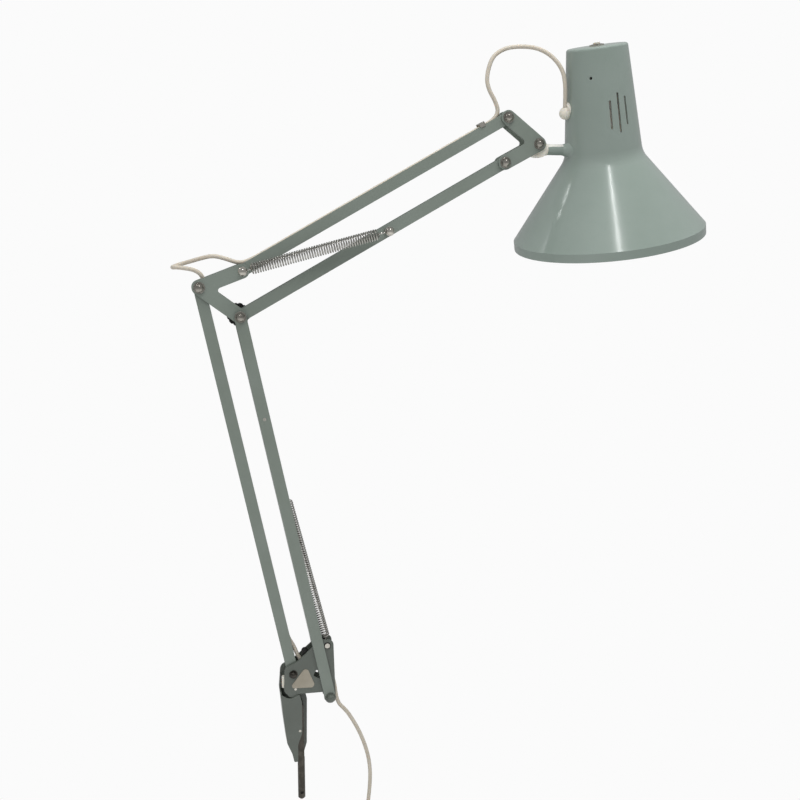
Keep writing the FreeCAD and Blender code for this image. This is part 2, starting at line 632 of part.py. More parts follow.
nut = doc.addObject("Part::Prism", "bracket_nut_blank")
nut.Polygon = 6
nut.Circumradius = 5.2
nut.Height = 3.2
nut.Placement = Placement(Vector(266.6, 0, STEM_Z), Rotation(Vector(0, 1, 0), 90))
nut_bore = doc.addObject("Part::Cylinder", "bracket_nut_bore")
nut_bore.Radius = 2.5
nut_bore.Height = 10
nut_bore.Placement = Placement(Vector(264, 0, STEM_Z), Rotation(Vector(0, 1, 0), 90))
bracket_nut = doc.addObject("Part::Cut", "bracket_nut")
bracket_nut.Base = nut
bracket_nut.Tool = nut_bore
keep(bracket_nut, "bracket_nut")

# Grommet: a white bead with a flange on the neck and a collar in the hole.
BEAD_RADIUS = 5.7
neck_taper = (NECK_LOW_RADIUS - cap_radius) / (shade_height - NECK_LOW)
neck_at_grommet = NECK_LOW_RADIUS - neck_taper * (GROMMET_H - NECK_LOW)
bead_centre = SHADE_PLACE.multVec(GROMMET_TURN.multVec(Vector(neck_at_grommet + 2.6, 0, 0))
                                  + Vector(0, 0, GROMMET_H - 2.0))
flange_place = SHADE_PLACE.multiply(Placement(GROMMET_TURN.multVec(Vector(neck_at_grommet - 4.5, 0, 0))
                                              + Vector(0, 0, GROMMET_H),
                                              GROMMET_TURN.multiply(Rotation(Vector(0, 1, 0), 90))))
bead = Part.makeSphere(BEAD_RADIUS, bead_centre)
neck_tube = Part.makeCylinder(3.4, 6.0)
neck_tube.Placement = flange_place
flange_ring = Part.makeCylinder(6.2, 6.0)
flange_ring.Placement = SHADE_PLACE.multiply(Placement(GROMMET_TURN.multVec(Vector(neck_at_grommet - 4.2, 0, 0))
                                                       + Vector(0, 0, GROMMET_H + 1.0),
                                                       GROMMET_TURN.multiply(Rotation(Vector(0, 1, 0), 90))))
grommet_outside = bead.fuse(flange_ring).cut(neck_full)
grommet_shape = grommet_outside.fuse(neck_tube)

# ---- cords ----------------------------------------------------------------------------------------------------

ARC_SHARE = 0.45


def tube_path(points):
    """Straight runs joined by tangent arcs as large as the two runs allow."""
    path = []
    start = points[0]
    tightest = None
    for i in range(1, len(points) - 1):
        here = points[i]
        back = points[i - 1] - here
        ahead = points[i + 1] - here
        shorter = min(back.Length, ahead.Length)
        turn = math.pi - back.getAngle(ahead)
        radius = ARC_SHARE * shorter / math.tan(turn / 2)
        tightest = radius if tightest is None else min(tightest, radius)
        reach = ARC_SHARE * shorter
        to_back = Vector(back).normalize()
        to_ahead = Vector(ahead).normalize()
        middle = (to_back + to_ahead).normalize()
        centre = here + middle * math.hypot(radius, reach)
        arc_start = here + to_back * reach
        arc_end = here + to_ahead * reach
        path.append(Part.LineSegment(start, arc_start).toShape())
        path.append(Part.Arc(arc_start, centre - middle * radius, arc_end).toShape())
        start = arc_end
    path.append(Part.LineSegment(start, points[-1]).toShape())
    return Part.Wire(path), tightest


def tube_shape(points, radius):
    wire, tightest = tube_path(points)
    direction = points[1] - points[0]
    section = Part.Wire(Part.makeCircle(radius, points[0], direction))
    shape = wire.makePipeShell([section], True, False)
    expected = math.pi * radius * radius * wire.Length
    return shape, wire.Length, tightest, shape.Volume / expected


CORD_END_GAP = 0.1


def cord(label, points, radius=cord_radius):
    places = [Vector(*p) for p in points]
    places[0] = places[0] + (places[1] - places[0]).normalize() * CORD_END_GAP
    places[-1] = places[-1] + (places[-2] - places[-1]).normalize() * CORD_END_GAP
    shape, length, tightest, ratio = tube_shape(places, radius)
    print("%s length %.1f mm, tightest radius %s, volume ratio %.4f"
          % (label, length, "none" if tightest is None else "%.1f" % tightest, ratio))
    item = doc.addObject("Part::Feature", label)
    item.Shape = shape
    return keep(item, label)


def arm_point(start, turn, across, along, y=0.0):
    x, z = along_arm(start, turn, across, along)
    return (x, y, z)


REAR_CORD_ACROSS = 3.2
TOP_CORD_ACROSS = -4.3
rear_cord_low = arm_point(rear_base, LOWER_TURN, REAR_CORD_ACROSS, 44.0)
rear_cord_high = arm_point(rear_base, LOWER_TURN, REAR_CORD_ACROSS, lower_length - 24.0)
top_cord_start = arm_point(top_elbow, UPPER_TURN, TOP_CORD_ACROSS, 24.0)
top_cord_end = arm_point(top_elbow, UPPER_TURN, TOP_CORD_ACROSS, upper_length - 20.0)
LEAD_EXIT = (34.5, 0, 70.0)
ELBOW_MEET = (-92.0, -7.0, 478.05)
HEAD_LEFT = (181.65, 0, 658.0)
HEAD_TOP = (212.0, -1.0, 677.2)
CORD_ABOVE_BEAD = (251.7, -11.2, 636.5)
CORD_END = (253.6, -6.4, 620.6)
cord("cord_in_rear_arm", [rear_cord_low, rear_cord_high])
cord("cord_in_top_bar", [top_cord_start, top_cord_end])
cord("cord_in_base", [rear_cord_low, arm_point(rear_base, LOWER_TURN, REAR_CORD_ACROSS, 35.0), (-5.5, 0, 120.5),
                      (-1.2, 0, 109.0), (5.0, 0, 99.5), (16.5, 0, 95.5), (28.0, 0, 92.0), (33.4, 0, 81.5), LEAD_EXIT])
# The loop behind the elbow leaves the rear arm, turns sideways and comes back to the top bar.
cord("elbow_cord_rear", [rear_cord_high, arm_point(rear_base, LOWER_TURN, REAR_CORD_ACROSS, lower_length - 11.0),
                         (-77.6, 0, 465.5), (-83.0, -4.5, 476.5), ELBOW_MEET])
cord("elbow_cord_top", [ELBOW_MEET, (-101.0, -9.5, 479.6), (-106.8, 0, 479.0), (-101.0, 9.5, 481.0),
                        (-90.5, 8.0, 484.0), (-80.0, 3.5, 487.2), (-70.0, 0.5, 489.4), (-58.5, 0, 486.4),
                        (-47.5, 0, 482.4), arm_point(top_elbow, UPPER_TURN, TOP_CORD_ACROSS, 12.0), top_cord_start])
cord("head_cord_bar", [top_cord_end, arm_point(top_elbow, UPPER_TURN, TOP_CORD_ACROSS, upper_length - 11.0),
                       (191.5, 0, 620.0), (187.6, 0, 629.5), (181.6, 0, 638.8), (179.3, 0, 649.5), HEAD_LEFT])
cord("head_cord_fork", [HEAD_LEFT, (184.0, 0, 666.5), (193.0, 0, 673.6), (203.5, 0, 677.0), HEAD_TOP])
cord("head_cord_shade", [HEAD_TOP, (220.5, -2.0, 677.4), (232.5, -5.0, 673.8), (242.5, -8.5, 665.8),
                         (248.7, -11.5, 655.5), (250.6, -12.5, 645.0), CORD_ABOVE_BEAD, CORD_END])

# ---- springs --------------------------------------------------------------------------------------------------

def biarc(p0, t0, p1, t1):
    """Two tangent arcs from p0 along t0 to p1 along t1."""
    chord = p1 - p0
    total = t0 + t1
    a = 2 * (1 - t0.dot(t1))
    b = 2 * chord.dot(total)
    c = -chord.dot(chord)
    reach = (-b + math.sqrt(b * b - 4 * a * c)) / (2 * a)
    knee_a = p0 + t0 * reach
    knee_b = p1 - t1 * reach
    joint = (knee_a + knee_b) * 0.5
    edges = []
    for start, knee, end in ((p0, knee_a, joint), (joint, knee_b, p1)):
        half_chord = start.distanceToPoint(end) / 2
        cosine = half_chord / start.distanceToPoint(knee)
        middle = (start + end) * 0.5
        mid = middle + (knee - middle) * (cosine / (1 + cosine))
        edges.append(Part.Arc(start, mid, end).toShape())
    return edges


def helix_edges(radius, pitch, curls):
    """A helix about Z made of one biarc for each half turn, with a straight end one wire long."""
    rise_angle = pitch / (2 * math.pi)
    edges = []
    wire = 2 * size("spring_wire")

    def place(angle):
        return Vector(radius * math.cos(angle), radius * math.sin(angle), pitch * angle / (2 * math.pi))

    def heading(angle):
        return Vector(-radius * math.sin(angle), radius * math.cos(angle), rise_angle).normalize()

    halves = int(curls * 2)
    edges.append(Part.LineSegment(place(0) - heading(0) * wire, place(0)).toShape())
    for i in range(halves):
        low = math.pi * i
        high = math.pi * (i + 1)
        edges += biarc(place(low), heading(low), place(high), heading(high))
    last = math.pi * halves
    edges.append(Part.LineSegment(place(last), place(last) + heading(last) * wire).toShape())
    return edges


def spring(label, start, end, coil_from, coil_to, curls):
    """A wound spring between two pins: its coil, and a straight hook wire with an eye at each end."""
    axis = end - start
    length = axis.Length
    wire = size("spring_wire")
    radius = size("spring_radius") - wire
    pitch = (coil_to - coil_from) / curls
    path = Part.Wire(helix_edges(radius, pitch, curls))
    first = path.Edges[0].valueAt(path.Edges[0].FirstParameter)
    heading = path.Edges[0].tangentAt(path.Edges[0].FirstParameter)
    section = Part.Wire(Part.makeCircle(wire, first, heading))
    coil = path.makePipeShell([section], True, False)
    coil.translate(Vector(0, 0, coil_from))
    gap = pitch * math.cos(math.atan(pitch / (2 * math.pi * radius))) - 2 * wire
    print("%s pitch %.2f mm, least gap between curls %.2f mm" % (label, pitch, gap))
    pieces = [coil]
    eye_bore = 3.4
    for foot, reach, sign in ((0.0, coil_from, 1), (length, length - coil_to, -1)):
        eye = Part.makeTorus(eye_bore, wire, Vector(0, 0, foot), Vector(0, 1, 0))
        wire_length = reach - eye_bore - 0.2
        if wire_length > 1.0:
            base = foot + sign * eye_bore
            low = min(base, base + sign * wire_length)
            straight = Part.makeCylinder(wire, wire_length, Vector(0, 0, low), Vector(0, 0, 1))
            eye = eye.fuse(straight)
        pieces.append(eye)
    item = doc.addObject("Part::Feature", label)
    item.Shape = Part.makeCompound(pieces)
    item.Placement = Placement(start, Rotation(Vector(0, 0, 1), axis))
    return keep(item, label)


CURLS = 50
lower_start = Vector(spring_base[0], 0, spring_base[1])
lower_end = Vector(spring_pin_place[0], 0, spring_pin_place[1])
spring("lower_spring", lower_start, lower_end, 5.0, 149.0, CURLS)
spring("upper_spring", Vector(top_elbow[0], UPPER_SPRING_Y, top_elbow[1]),
       Vector(stud_place[0], UPPER_SPRING_Y, stud_place[1]), 6.5, 127.0, CURLS)

# ---- lampholder, bulb and switch ------------------------------------------------------------------------------

SOCKET_LOW = 92.0
SOCKET_HIGH = 146.0
keep(revolved("lampholder_shell", [(13.8, SOCKET_LOW), (size("holder_radius"), SOCKET_LOW),
                                   (size("holder_radius"), SOCKET_HIGH), (5.0, SOCKET_HIGH),
                                   (5.0, SOCKET_HIGH - 4), (13.8, SOCKET_HIGH - 10)],
              [0, 2, 4, 0, 0, 0], SHADE_PLACE), "lampholder_shell")
keep(shade_cylinder("lampholder_contact", 4.0, 119.2, 140.0), "lampholder_contact")
holder_disc = shade_cylinder("holder_disc", 27.0, SOCKET_HIGH, SOCKET_HIGH + 1.5)
holder_hole = shade_cylinder("holder_hole", 5.0, SOCKET_HIGH - 1, SOCKET_HIGH + 3)
holder_plate = doc.addObject("Part::Cut", "holder_plate")
holder_plate.Base = holder_disc
holder_plate.Tool = holder_hole
keep(holder_plate, "holder_plate")
keep(revolved("bulb_cap", [(0, 93.5), (13.0, 93.5), (13.0, 114.0), (4.6, 118.6), (0, 118.6)],
              [0, 0, 3, 0, 0], SHADE_PLACE), "bulb_cap")
keep(revolved("bulb_glass", [(0, 93.2), (12.2, 93.2), (15.0, 72.0), (size("bulb_radius"), 60.0),
                             (size("bulb_radius"), 16.0), (0, 16.0)],
              [0, 0, 14, 16, 28.9, 0], SHADE_PLACE), "bulb_glass")
switch_barrel = shade_cylinder("switch_barrel", 7.0, 156.0, 176.0)
switch_neck = shade_cylinder("switch_neck", 5.0, 175.0, 180.6)
switch_bore = shade_cylinder("switch_bore", size("button_radius") + 0.1, 172.0, 184.0)
switch_solid = doc.addObject("Part::MultiFuse", "switch_solid")
switch_solid.Shapes = [switch_barrel, switch_neck]
switch_body = doc.addObject("Part::Cut", "switch_body")
switch_body.Base = switch_solid
switch_body.Tool = switch_bore
keep(switch_body, "switch_body")
ring_outer = shade_cylinder("switch_ring_outer", 6.6, shade_height, shade_height + 1.2)
ring_bore = shade_cylinder("switch_ring_bore", 5.0, shade_height - 1, shade_height + 3)
switch_nut = doc.addObject("Part::Cut", "switch_nut")
switch_nut.Base = ring_outer
switch_nut.Tool = ring_bore
keep(switch_nut, "switch_nut")
button = doc.addObject("Part::Cylinder", "switch_button")
bind(button, "Radius", "Sizes.button_radius")
bind(button, "Height", "Sizes.button_tall")
in_shade(button, Placement(Vector(0, 0, 175.6), Rotation()))
keep(button, "switch_button")

bead_bore, bore_length, bore_bend, bore_ratio = tube_shape([Vector(*CORD_ABOVE_BEAD), Vector(*CORD_END)],
                                                           cord_radius + size("running_gap"))
grommet = doc.addObject("Part::Feature", "cord_grommet")
grommet.Shape = grommet_shape.cut(bead_bore)
keep(grommet, "cord_grommet")

# ---- cord clip ------------------------------------------------------------------------------------------------

CLIP_ALONG = upper_length - 27.0
clip_outer = doc.addObject("Part::Box", "clip_outer")
clip_outer.Length = 4.2
clip_outer.Width = 2 * link_half + 1.6
clip_outer.Height = 5.0
clip_inner = doc.addObject("Part::Box", "clip_inner")
clip_inner.Length = 3.4
clip_inner.Width = 2 * link_half
clip_inner.Height = 7.0
clip_x = -8.1
clip_frame = Placement(Vector(top_elbow[0], 0, top_elbow[1]), Rotation(Vector(0, 1, 0), UPPER_TURN))
clip_outer.Placement = clip_frame.multiply(Placement(Vector(clip_x, -link_half - 0.8, CLIP_ALONG), Rotation()))
clip_inner.Placement = clip_frame.multiply(Placement(Vector(clip_x + 0.8, -link_half, CLIP_ALONG - 1), Rotation()))
clip = doc.addObject("Part::Cut", "cord_clip")
clip.Base = clip_outer
clip.Tool = clip_inner
keep(clip, "cord_clip")

# ---- free lead, coil, tail and plug ---------------------------------------------------------------------------

COIL_ENTRY = (64.2, 0, -100.2)
cord("lead_free", [LEAD_EXIT, (35.6, 0, 58.5), (44.5, 0, 49.5), (51.2, 0, 38.5), (57.5, 0, 26.0), (63.2, 0, 11.0),
                   (67.2, 0, -4.5), (68.6, 0, -21.0), (67.6, 0, -38.0), (65.4, 0, -56.0), (64.3, 0, -76.0),
                   COIL_ENTRY])

COIL_OUTER = 39.4
COIL_CENTRE = (64.2 + COIL_OUTER, -104.0)
COIL_STEP = 5.1
COIL_TURNS = 4
LAYER_STEP = 5.4
CLIMB_TUCK = 1.3


def coil_places():
    """Loop places each quarter turn: four turns in, a climb to the next layer, and four turns out."""
    places = []
    quarters = 4 * COIL_TURNS
    for i in range(quarters + 1):
        places.append((i, COIL_OUTER - COIL_STEP * i / 4, 0.0))
    inner = COIL_OUTER - COIL_STEP * COIL_TURNS
    places.append((quarters + 1, inner - CLIMB_TUCK, LAYER_STEP / 2))
    places.append((quarters + 2, inner - CLIMB_TUCK / 3, LAYER_STEP))
    for i in range(1, quarters - 1):
        places.append((quarters + 2 + i, inner + COIL_STEP * i / 4, LAYER_STEP))
    points = []
    for quarter, radius, height in places:
        angle = math.pi + math.pi / 2 * quarter
        points.append(Vector(COIL_CENTRE[0] + radius * math.cos(angle), height,
                             COIL_CENTRE[1] + radius * math.sin(angle)))
    return points


def smooth_headings(points, first, last):
    headings = [first]
    for i in range(1, len(points) - 1):
        radial = Vector(points[i].x - COIL_CENTRE[0], 0, points[i].z - COIL_CENTRE[1]).normalize()
        around = Vector(-radial.z, 0, radial.x)
        chord = points[i + 1] - points[i - 1]
        along = chord.dot(around)
        headings.append((around * along + radial * (chord.dot(radial)) + Vector(0, chord.y * 0.6, 0)).normalize())
    headings.append(last)
    return headings


coil_points = coil_places()
DOWN = Vector(0, 0, -1)
coil_headings = smooth_headings(coil_points, DOWN, DOWN)
coil_edges = []
coil_entry = coil_points[0] - DOWN * (2 * cord_radius)
coil_leave = coil_points[-1] + DOWN * (2 * cord_radius)
coil_edges.append(Part.LineSegment(coil_entry, coil_points[0]).toShape())
for i in range(len(coil_points) - 1):
    coil_edges += biarc(coil_points[i], coil_headings[i], coil_points[i + 1], coil_headings[i + 1])
coil_edges.append(Part.LineSegment(coil_points[-1], coil_leave).toShape())
coil_path = Part.Wire(coil_edges)
coil_section = Part.Wire(Part.makeCircle(cord_radius, coil_entry, DOWN))
coil_shape = coil_path.makePipeShell([coil_section], True, False)
coil_ratio = coil_shape.Volume / (math.pi * cord_radius ** 2 * coil_path.Length)
samples = coil_path.discretize(Number=900)
sample_step = coil_path.Length / 899
skip = int(30 / sample_step)
least = min(samples[i].distanceToPoint(samples[j])
            for i in range(0, len(samples), 2) for j in range(i + skip, len(samples), 2)) - 2 * cord_radius
print("lead_coil length %.0f mm, volume ratio %.4f, least gap %.2f mm, entry %s, leave %s"
      % (coil_path.Length, coil_ratio, least, coil_entry, coil_leave))
coil_item = doc.addObject("Part::Feature", "lead_coil")
coil_item.Shape = coil_shape
keep(coil_item, "lead_coil")

TAIL_END = Vector(coil_leave.x, coil_leave.y, coil_leave.z - 48.0)
cord("lead_tail", [tuple(coil_leave), tuple(TAIL_END)])

plug_body = doc.addObject("Part::Cone", "plug_handle")
plug_body.Radius1 = 9.0
plug_body.Radius2 = 4.6
plug_body.Height = 26.0
plug_body.Placement = Placement(Vector(TAIL_END.x, TAIL_END.y, TAIL_END.z - 26.0), Rotation())
plug_face = doc.addObject("Part::Cylinder", "plug_face")
plug_face.Radius = 9.0
plug_face.Height = 10.0
plug_face.Placement = Placement(Vector(TAIL_END.x, TAIL_END.y, TAIL_END.z - 36.0), Rotation())
plug = doc.addObject("Part::MultiFuse", "plug")
plug.Shapes = [plug_body, plug_face]
keep(plug, "plug")
plug_pins = []
for offset in (-9.5, 9.5):
    prong = doc.addObject("Part::Cylinder", "plug_pin")
    prong.Radius = 2.0
    prong.Height = 19.0
    prong.Placement = Placement(Vector(TAIL_END.x + offset * 0.6, TAIL_END.y, TAIL_END.z - 55.0), Rotation())
    plug_pins.append(prong)
group("plug_pins", plug_pins)

# ---- check and write ------------------------------------------------------------------------------------------

doc.recompute()
for item in doc.Objects:
    if "Invalid" in item.State or "Error" in item.State:
        raise ValueError("failed: %s %s" % (item.Name, item.State))
os.makedirs("parts", exist_ok=True)
for label, item in nodes.items():
    shape = item.Shape
    if shape.isNull() or not shape.isValid() or not shape.Solids:
        raise ValueError("bad shape: %s" % label)
    shape.exportStep("parts/%s.step" % label)
print("%d nodes" % len(nodes))
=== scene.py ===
# %% [markdown]
# # A spring-balanced desk lamp
# The lamp is two pairs of folded steel arms, six pivot plates, two wound springs and a bell shade. The
# steel is sprayed with one grey-green enamel; on the base it is painted darker, as painted shade, and on the
# lampshade lighter, as painted light. The lamp turns on a bare pin, so nothing stands under it. The solids
# come packed, as a fixed frame. What Blender adds is the finishes, the wound wire, the limp cord, the plug's
# body, the plated cap nuts, a coil tie and a rubber sleeve.

# %% Load the frame
import math

import bpy
from mathutils import Matrix, Vector


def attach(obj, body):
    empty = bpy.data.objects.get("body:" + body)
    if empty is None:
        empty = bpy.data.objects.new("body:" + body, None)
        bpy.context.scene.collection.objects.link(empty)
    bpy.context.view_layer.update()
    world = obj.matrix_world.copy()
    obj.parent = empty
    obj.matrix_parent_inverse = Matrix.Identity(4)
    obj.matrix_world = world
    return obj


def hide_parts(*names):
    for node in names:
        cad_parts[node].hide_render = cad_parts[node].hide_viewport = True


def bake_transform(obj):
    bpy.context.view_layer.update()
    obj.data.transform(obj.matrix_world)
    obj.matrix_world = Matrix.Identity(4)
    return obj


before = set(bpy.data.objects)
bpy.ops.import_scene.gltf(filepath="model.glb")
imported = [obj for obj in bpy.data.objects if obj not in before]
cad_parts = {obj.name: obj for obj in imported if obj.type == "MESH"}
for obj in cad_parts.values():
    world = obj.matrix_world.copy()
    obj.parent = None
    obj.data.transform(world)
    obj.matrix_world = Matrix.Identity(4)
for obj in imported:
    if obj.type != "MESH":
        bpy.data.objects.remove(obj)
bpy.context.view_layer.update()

MM = 0.001
print("frame loaded:", len(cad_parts), "nodes")


def v(x, y, z):
    """A point given in millimetres, in Blender's metres."""
    return Vector((x * MM, y * MM, z * MM))


# %% [markdown]
# ## Where things are
# The pivots are worked out from the two arm lengths and the two angles of the arms, as in the solids. A
# piece placed from the same numbers lands on the part that carries it, so nothing has to be fitted by eye.

# %% Pivots and the shade's axis
LOWER_LENGTH = 375.0
UPPER_LENGTH = 281.0
LEAN_DEGREES = 11.763
RISE_DEGREES = 29.4
LEAN = math.radians(LEAN_DEGREES)
RISE = math.radians(RISE_DEGREES)
REAR_BASE = (-6.8, 94.3)
FRONT_BASE = (28.2, 68.3)
LOWER_RUN = (-LOWER_LENGTH * math.sin(LEAN), LOWER_LENGTH * math.cos(LEAN))
UPPER_RUN = (UPPER_LENGTH * math.cos(RISE), UPPER_LENGTH * math.sin(RISE))


def shifted(point, step):
    return (point[0] + step[0], point[1] + step[1])


REAR_ELBOW = shifted(REAR_BASE, LOWER_RUN)
FRONT_ELBOW = shifted(FRONT_BASE, LOWER_RUN)
ELBOW_LINK = (37.4, 14.3)
TOP_ELBOW = shifted(REAR_ELBOW, ELBOW_LINK)
TOP_FORK = shifted(TOP_ELBOW, UPPER_RUN)
BOTTOM_FORK = shifted(FRONT_ELBOW, UPPER_RUN)
NOSE_OFFSET = (30.0, -22.9)
FORK_NOSE = shifted(TOP_FORK, NOSE_OFFSET)
SPRING_ANCHOR = (26.1, 120.2)

SHADE_AXIS = Vector((-0.1735, -0.1677, 0.9705)).normalized()
SHADE_CENTRE = v(310.2, 14.3, 504.1)


def along_arm(start, turn, across, along):
    """A place in the arm plane, given across and along an arm that is turned from upright."""
    angle = math.radians(turn)
    return (start[0] + across * math.cos(angle) + along * math.sin(angle),
            start[1] - across * math.sin(angle) + along * math.cos(angle))


LOWER_TURN = -LEAN_DEGREES
UPPER_TURN = 90 - RISE_DEGREES
print("elbow at", [round(c, 1) for c in REAR_ELBOW], "fork at", [round(c, 1) for c in TOP_FORK])

# %% [markdown]
# ## Camera
# The photograph was taken from a little to the left of the lamp and from above its middle, so the camera is
# turned 12.4 degrees and tipped down 9.1 degrees. The lens is worked out from the picture's width, because
# a lens and a distance that are both guessed make the near parts too large.

# %% Camera at the photograph's place
CAMERA_PLACE = (-96.68, -887.83, 499.98)
CAMERA_AZIMUTH = math.radians(-12.415)
CAMERA_DOWN = math.radians(9.097)
PICTURE_WIDTH = 800
FOCAL_PIXELS = 978.46
SENSOR = 36.0
camera_data = bpy.data.cameras.new("photo_camera")
camera_data.sensor_width = SENSOR
camera_data.lens = FOCAL_PIXELS / PICTURE_WIDTH * SENSOR
camera_data.clip_end = 20
camera = bpy.data.objects.new("photo_camera", camera_data)
bpy.context.collection.objects.link(camera)
camera.location = v(*CAMERA_PLACE)
camera.rotation_euler = (math.pi / 2 - CAMERA_DOWN, 0, CAMERA_AZIMUTH)
bpy.context.scene.camera = camera
print("lens %.1f mm" % camera_data.lens)

# %% [markdown]
# ## Small helpers
# Selecting is half of modelling. These helpers clear the selection, join pieces, and put a finished piece's
# place into its mesh, so its object sits at the origin as a CAD node's does.

# %% Selecting and finishing


def nothing_selected():
    if bpy.context.object and bpy.context.object.mode != "OBJECT":
        bpy.ops.object.mode_set(mode="OBJECT")
    bpy.ops.object.select_all(action="DESELECT")


def only(piece):
    nothing_selected()
    piece.select_set(True)
    bpy.context.view_layer.objects.active = piece
    return piece


def new_piece(name):
    """The object that a primitive operator has just added, under its own name."""
    piece = bpy.context.object
    piece.name = name
    piece.data.name = name
    return piece


def apply_place(piece):
    only(piece)
    bpy.ops.object.transform_apply(location=True, rotation=True, scale=True)
    return piece


def apply_modifiers(piece):
    only(piece)
    for modifier in list(piece.modifiers):
        bpy.ops.object.modifier_apply(modifier=modifier.name)
    return piece


def join(pieces, name):
    nothing_selected()
    for piece in pieces:
        piece.select_set(True)
    bpy.context.view_layer.objects.active = pieces[0]
    bpy.ops.object.join()
    return new_piece(name)


def smooth(piece, degrees=35):
    only(piece)
    bpy.ops.object.shade_smooth_by_angle(angle=math.radians(degrees))
    return piece


def outward(piece):
    only(piece)
    bpy.ops.object.mode_set(mode="EDIT")
    bpy.ops.mesh.select_all(action="SELECT")
    bpy.ops.mesh.remove_doubles(threshold=1e-6)
    bpy.ops.mesh.normals_make_consistent(inside=False)
    bpy.ops.object.mode_set(mode="OBJECT")
    return piece


# %% [markdown]
# ## Colours
# A colour picked from a picture is an sRGB value, and a shader wants linear light. One function turns the
# one into the other, and the colours of all finishes go through it.

# %% Colour and node helpers


def colour(hex_value):
    """An sRGB hex value as linear RGBA."""
    parts = [int(hex_value[i:i + 2], 16) / 255 for i in (1, 3, 5)]
    linear = [c / 12.92 if c <= 0.04045 else ((c + 0.055) / 1.055) ** 2.4 for c in parts]
    return (*linear, 1.0)


def node(tree, kind, settings=None, links=None, **values):
    """Adds a shader node, sets its properties and sockets, and links its inputs from other nodes' outputs."""
    made = tree.nodes.new(kind)
    for key, value in (settings or {}).items():
        setattr(made, key, value)
    for key, value in values.items():
        made.inputs[key.replace("_", " ")].default_value = value
    for key, source in (links or {}).items():
        tree.links.new(source, made.inputs[key])
    return made


def blank_material(name):
    material = bpy.data.materials.new(name)
    material.use_nodes = True
    tree = material.node_tree
    tree.nodes.clear()
    output = node(tree, "ShaderNodeOutputMaterial")
    shader = node(tree, "ShaderNodeBsdfPrincipled")
    tree.links.new(shader.outputs[0], output.inputs[0])
    place = node(tree, "ShaderNodeTexCoord").outputs["Object"]
    return material, tree, shader, place


def blend_colours(tree, factor, low, high):
    """A colour between two, by a factor from a noise."""
    mixed = node(tree, "ShaderNodeMix", {"data_type": "RGBA"})
    tree.links.new(factor, mixed.inputs[0])
    for socket, value in ((6, low), (7, high)):
        if isinstance(value, tuple):
            mixed.inputs[socket].default_value = value
        else:
            tree.links.new(value, mixed.inputs[socket])
    return mixed.outputs[2]


def ramp(tree, factor, low, high, from_value=0.0, to_value=1.0):
    mapped = node(tree, "ShaderNodeMapRange", None, {"Value": factor})
    for socket, value in (("From Min", low), ("From Max", high), ("To Min", from_value), ("To Max", to_value)):
        mapped.inputs[socket].default_value = value
    return mapped.outputs[0]


# %% [markdown]
# ## Enamel
# The arms and the shade are sheet steel with a stoved enamel, sprayed and then baked. That gives a coat
# about a tenth of a millimetre thick: it rounds every edge, lies a little uneven (orange peel, with waves
# of about 1.5 mm), and shines more on the shade, which got more coats, than on the arms. Its tone changes a
# little in broad patches. On the arms and the base a bevel node rounds the light at sharp edges without
# changing a CAD mesh.

# %% Enamelled steel


def enamel(name, body_hex, worn_hex, roughness, peel_strength, inside_hex=None, edge=0.0006):
    material, tree, shader, place = blank_material(name)
    broad = node(tree, "ShaderNodeTexNoise", None, {"Vector": place}, Scale=18.0, Detail=3.0, Roughness=0.55)
    base = blend_colours(tree, ramp(tree, broad.outputs["Fac"], 0.35, 0.7), colour(body_hex), colour(worn_hex))
    dust = node(tree, "ShaderNodeTexNoise", None, {"Vector": place}, Scale=900.0, Detail=2.0)
    speck = ramp(tree, dust.outputs["Fac"], 0.70, 0.78, 0.0, 0.35)
    base = blend_colours(tree, speck, base, colour("#5F655E"))
    peel = node(tree, "ShaderNodeTexNoise", None, {"Vector": place}, Scale=650.0, Detail=1.5)
    bump = node(tree, "ShaderNodeBump", None, {"Height": peel.outputs["Fac"]},
                Strength=peel_strength, Distance=0.00012)
    if edge:
        rounded = node(tree, "ShaderNodeBevel", {"samples": 4}, None, Radius=edge)
        tree.links.new(rounded.outputs[0], bump.inputs["Normal"])
    if inside_hex:
        geometry = node(tree, "ShaderNodeNewGeometry")
        from_centre = node(tree, "ShaderNodeVectorMath", {"operation": "SUBTRACT"}, {0: place})
        from_centre.inputs[1].default_value = SHADE_CENTRE
        height = node(tree, "ShaderNodeVectorMath", {"operation": "DOT_PRODUCT"}, {0: from_centre.outputs[0]})
        height.inputs[1].default_value = SHADE_AXIS
        on_axis = node(tree, "ShaderNodeVectorMath", {"operation": "SCALE"}, {"Scale": height.outputs["Value"]})
        on_axis.inputs[0].default_value = SHADE_AXIS
        radial = node(tree, "ShaderNodeVectorMath", {"operation": "SUBTRACT"},
                      {0: from_centre.outputs[0], 1: on_axis.outputs[0]})
        facing = node(tree, "ShaderNodeVectorMath", {"operation": "DOT_PRODUCT"},
                      {0: radial.outputs[0], 1: geometry.outputs["True Normal"]})
        inward = node(tree, "ShaderNodeMath", {"operation": "LESS_THAN"}, {0: facing.outputs["Value"]})
        inward.inputs[1].default_value = -0.002
        base = blend_colours(tree, inward.outputs[0], base, colour(inside_hex))
    tree.links.new(base, shader.inputs["Base Color"])
    tree.links.new(bump.outputs[0], shader.inputs["Normal"])
    sheen_noise = ramp(tree, broad.outputs["Fac"], 0.3, 0.7, roughness - 0.05, roughness + 0.06)
    tree.links.new(sheen_noise, shader.inputs["Roughness"])
    shader.inputs["IOR"].default_value = 1.5
    shader.inputs["Coat Weight"].default_value = 0.25
    shader.inputs["Coat Roughness"].default_value = 0.12
    return material


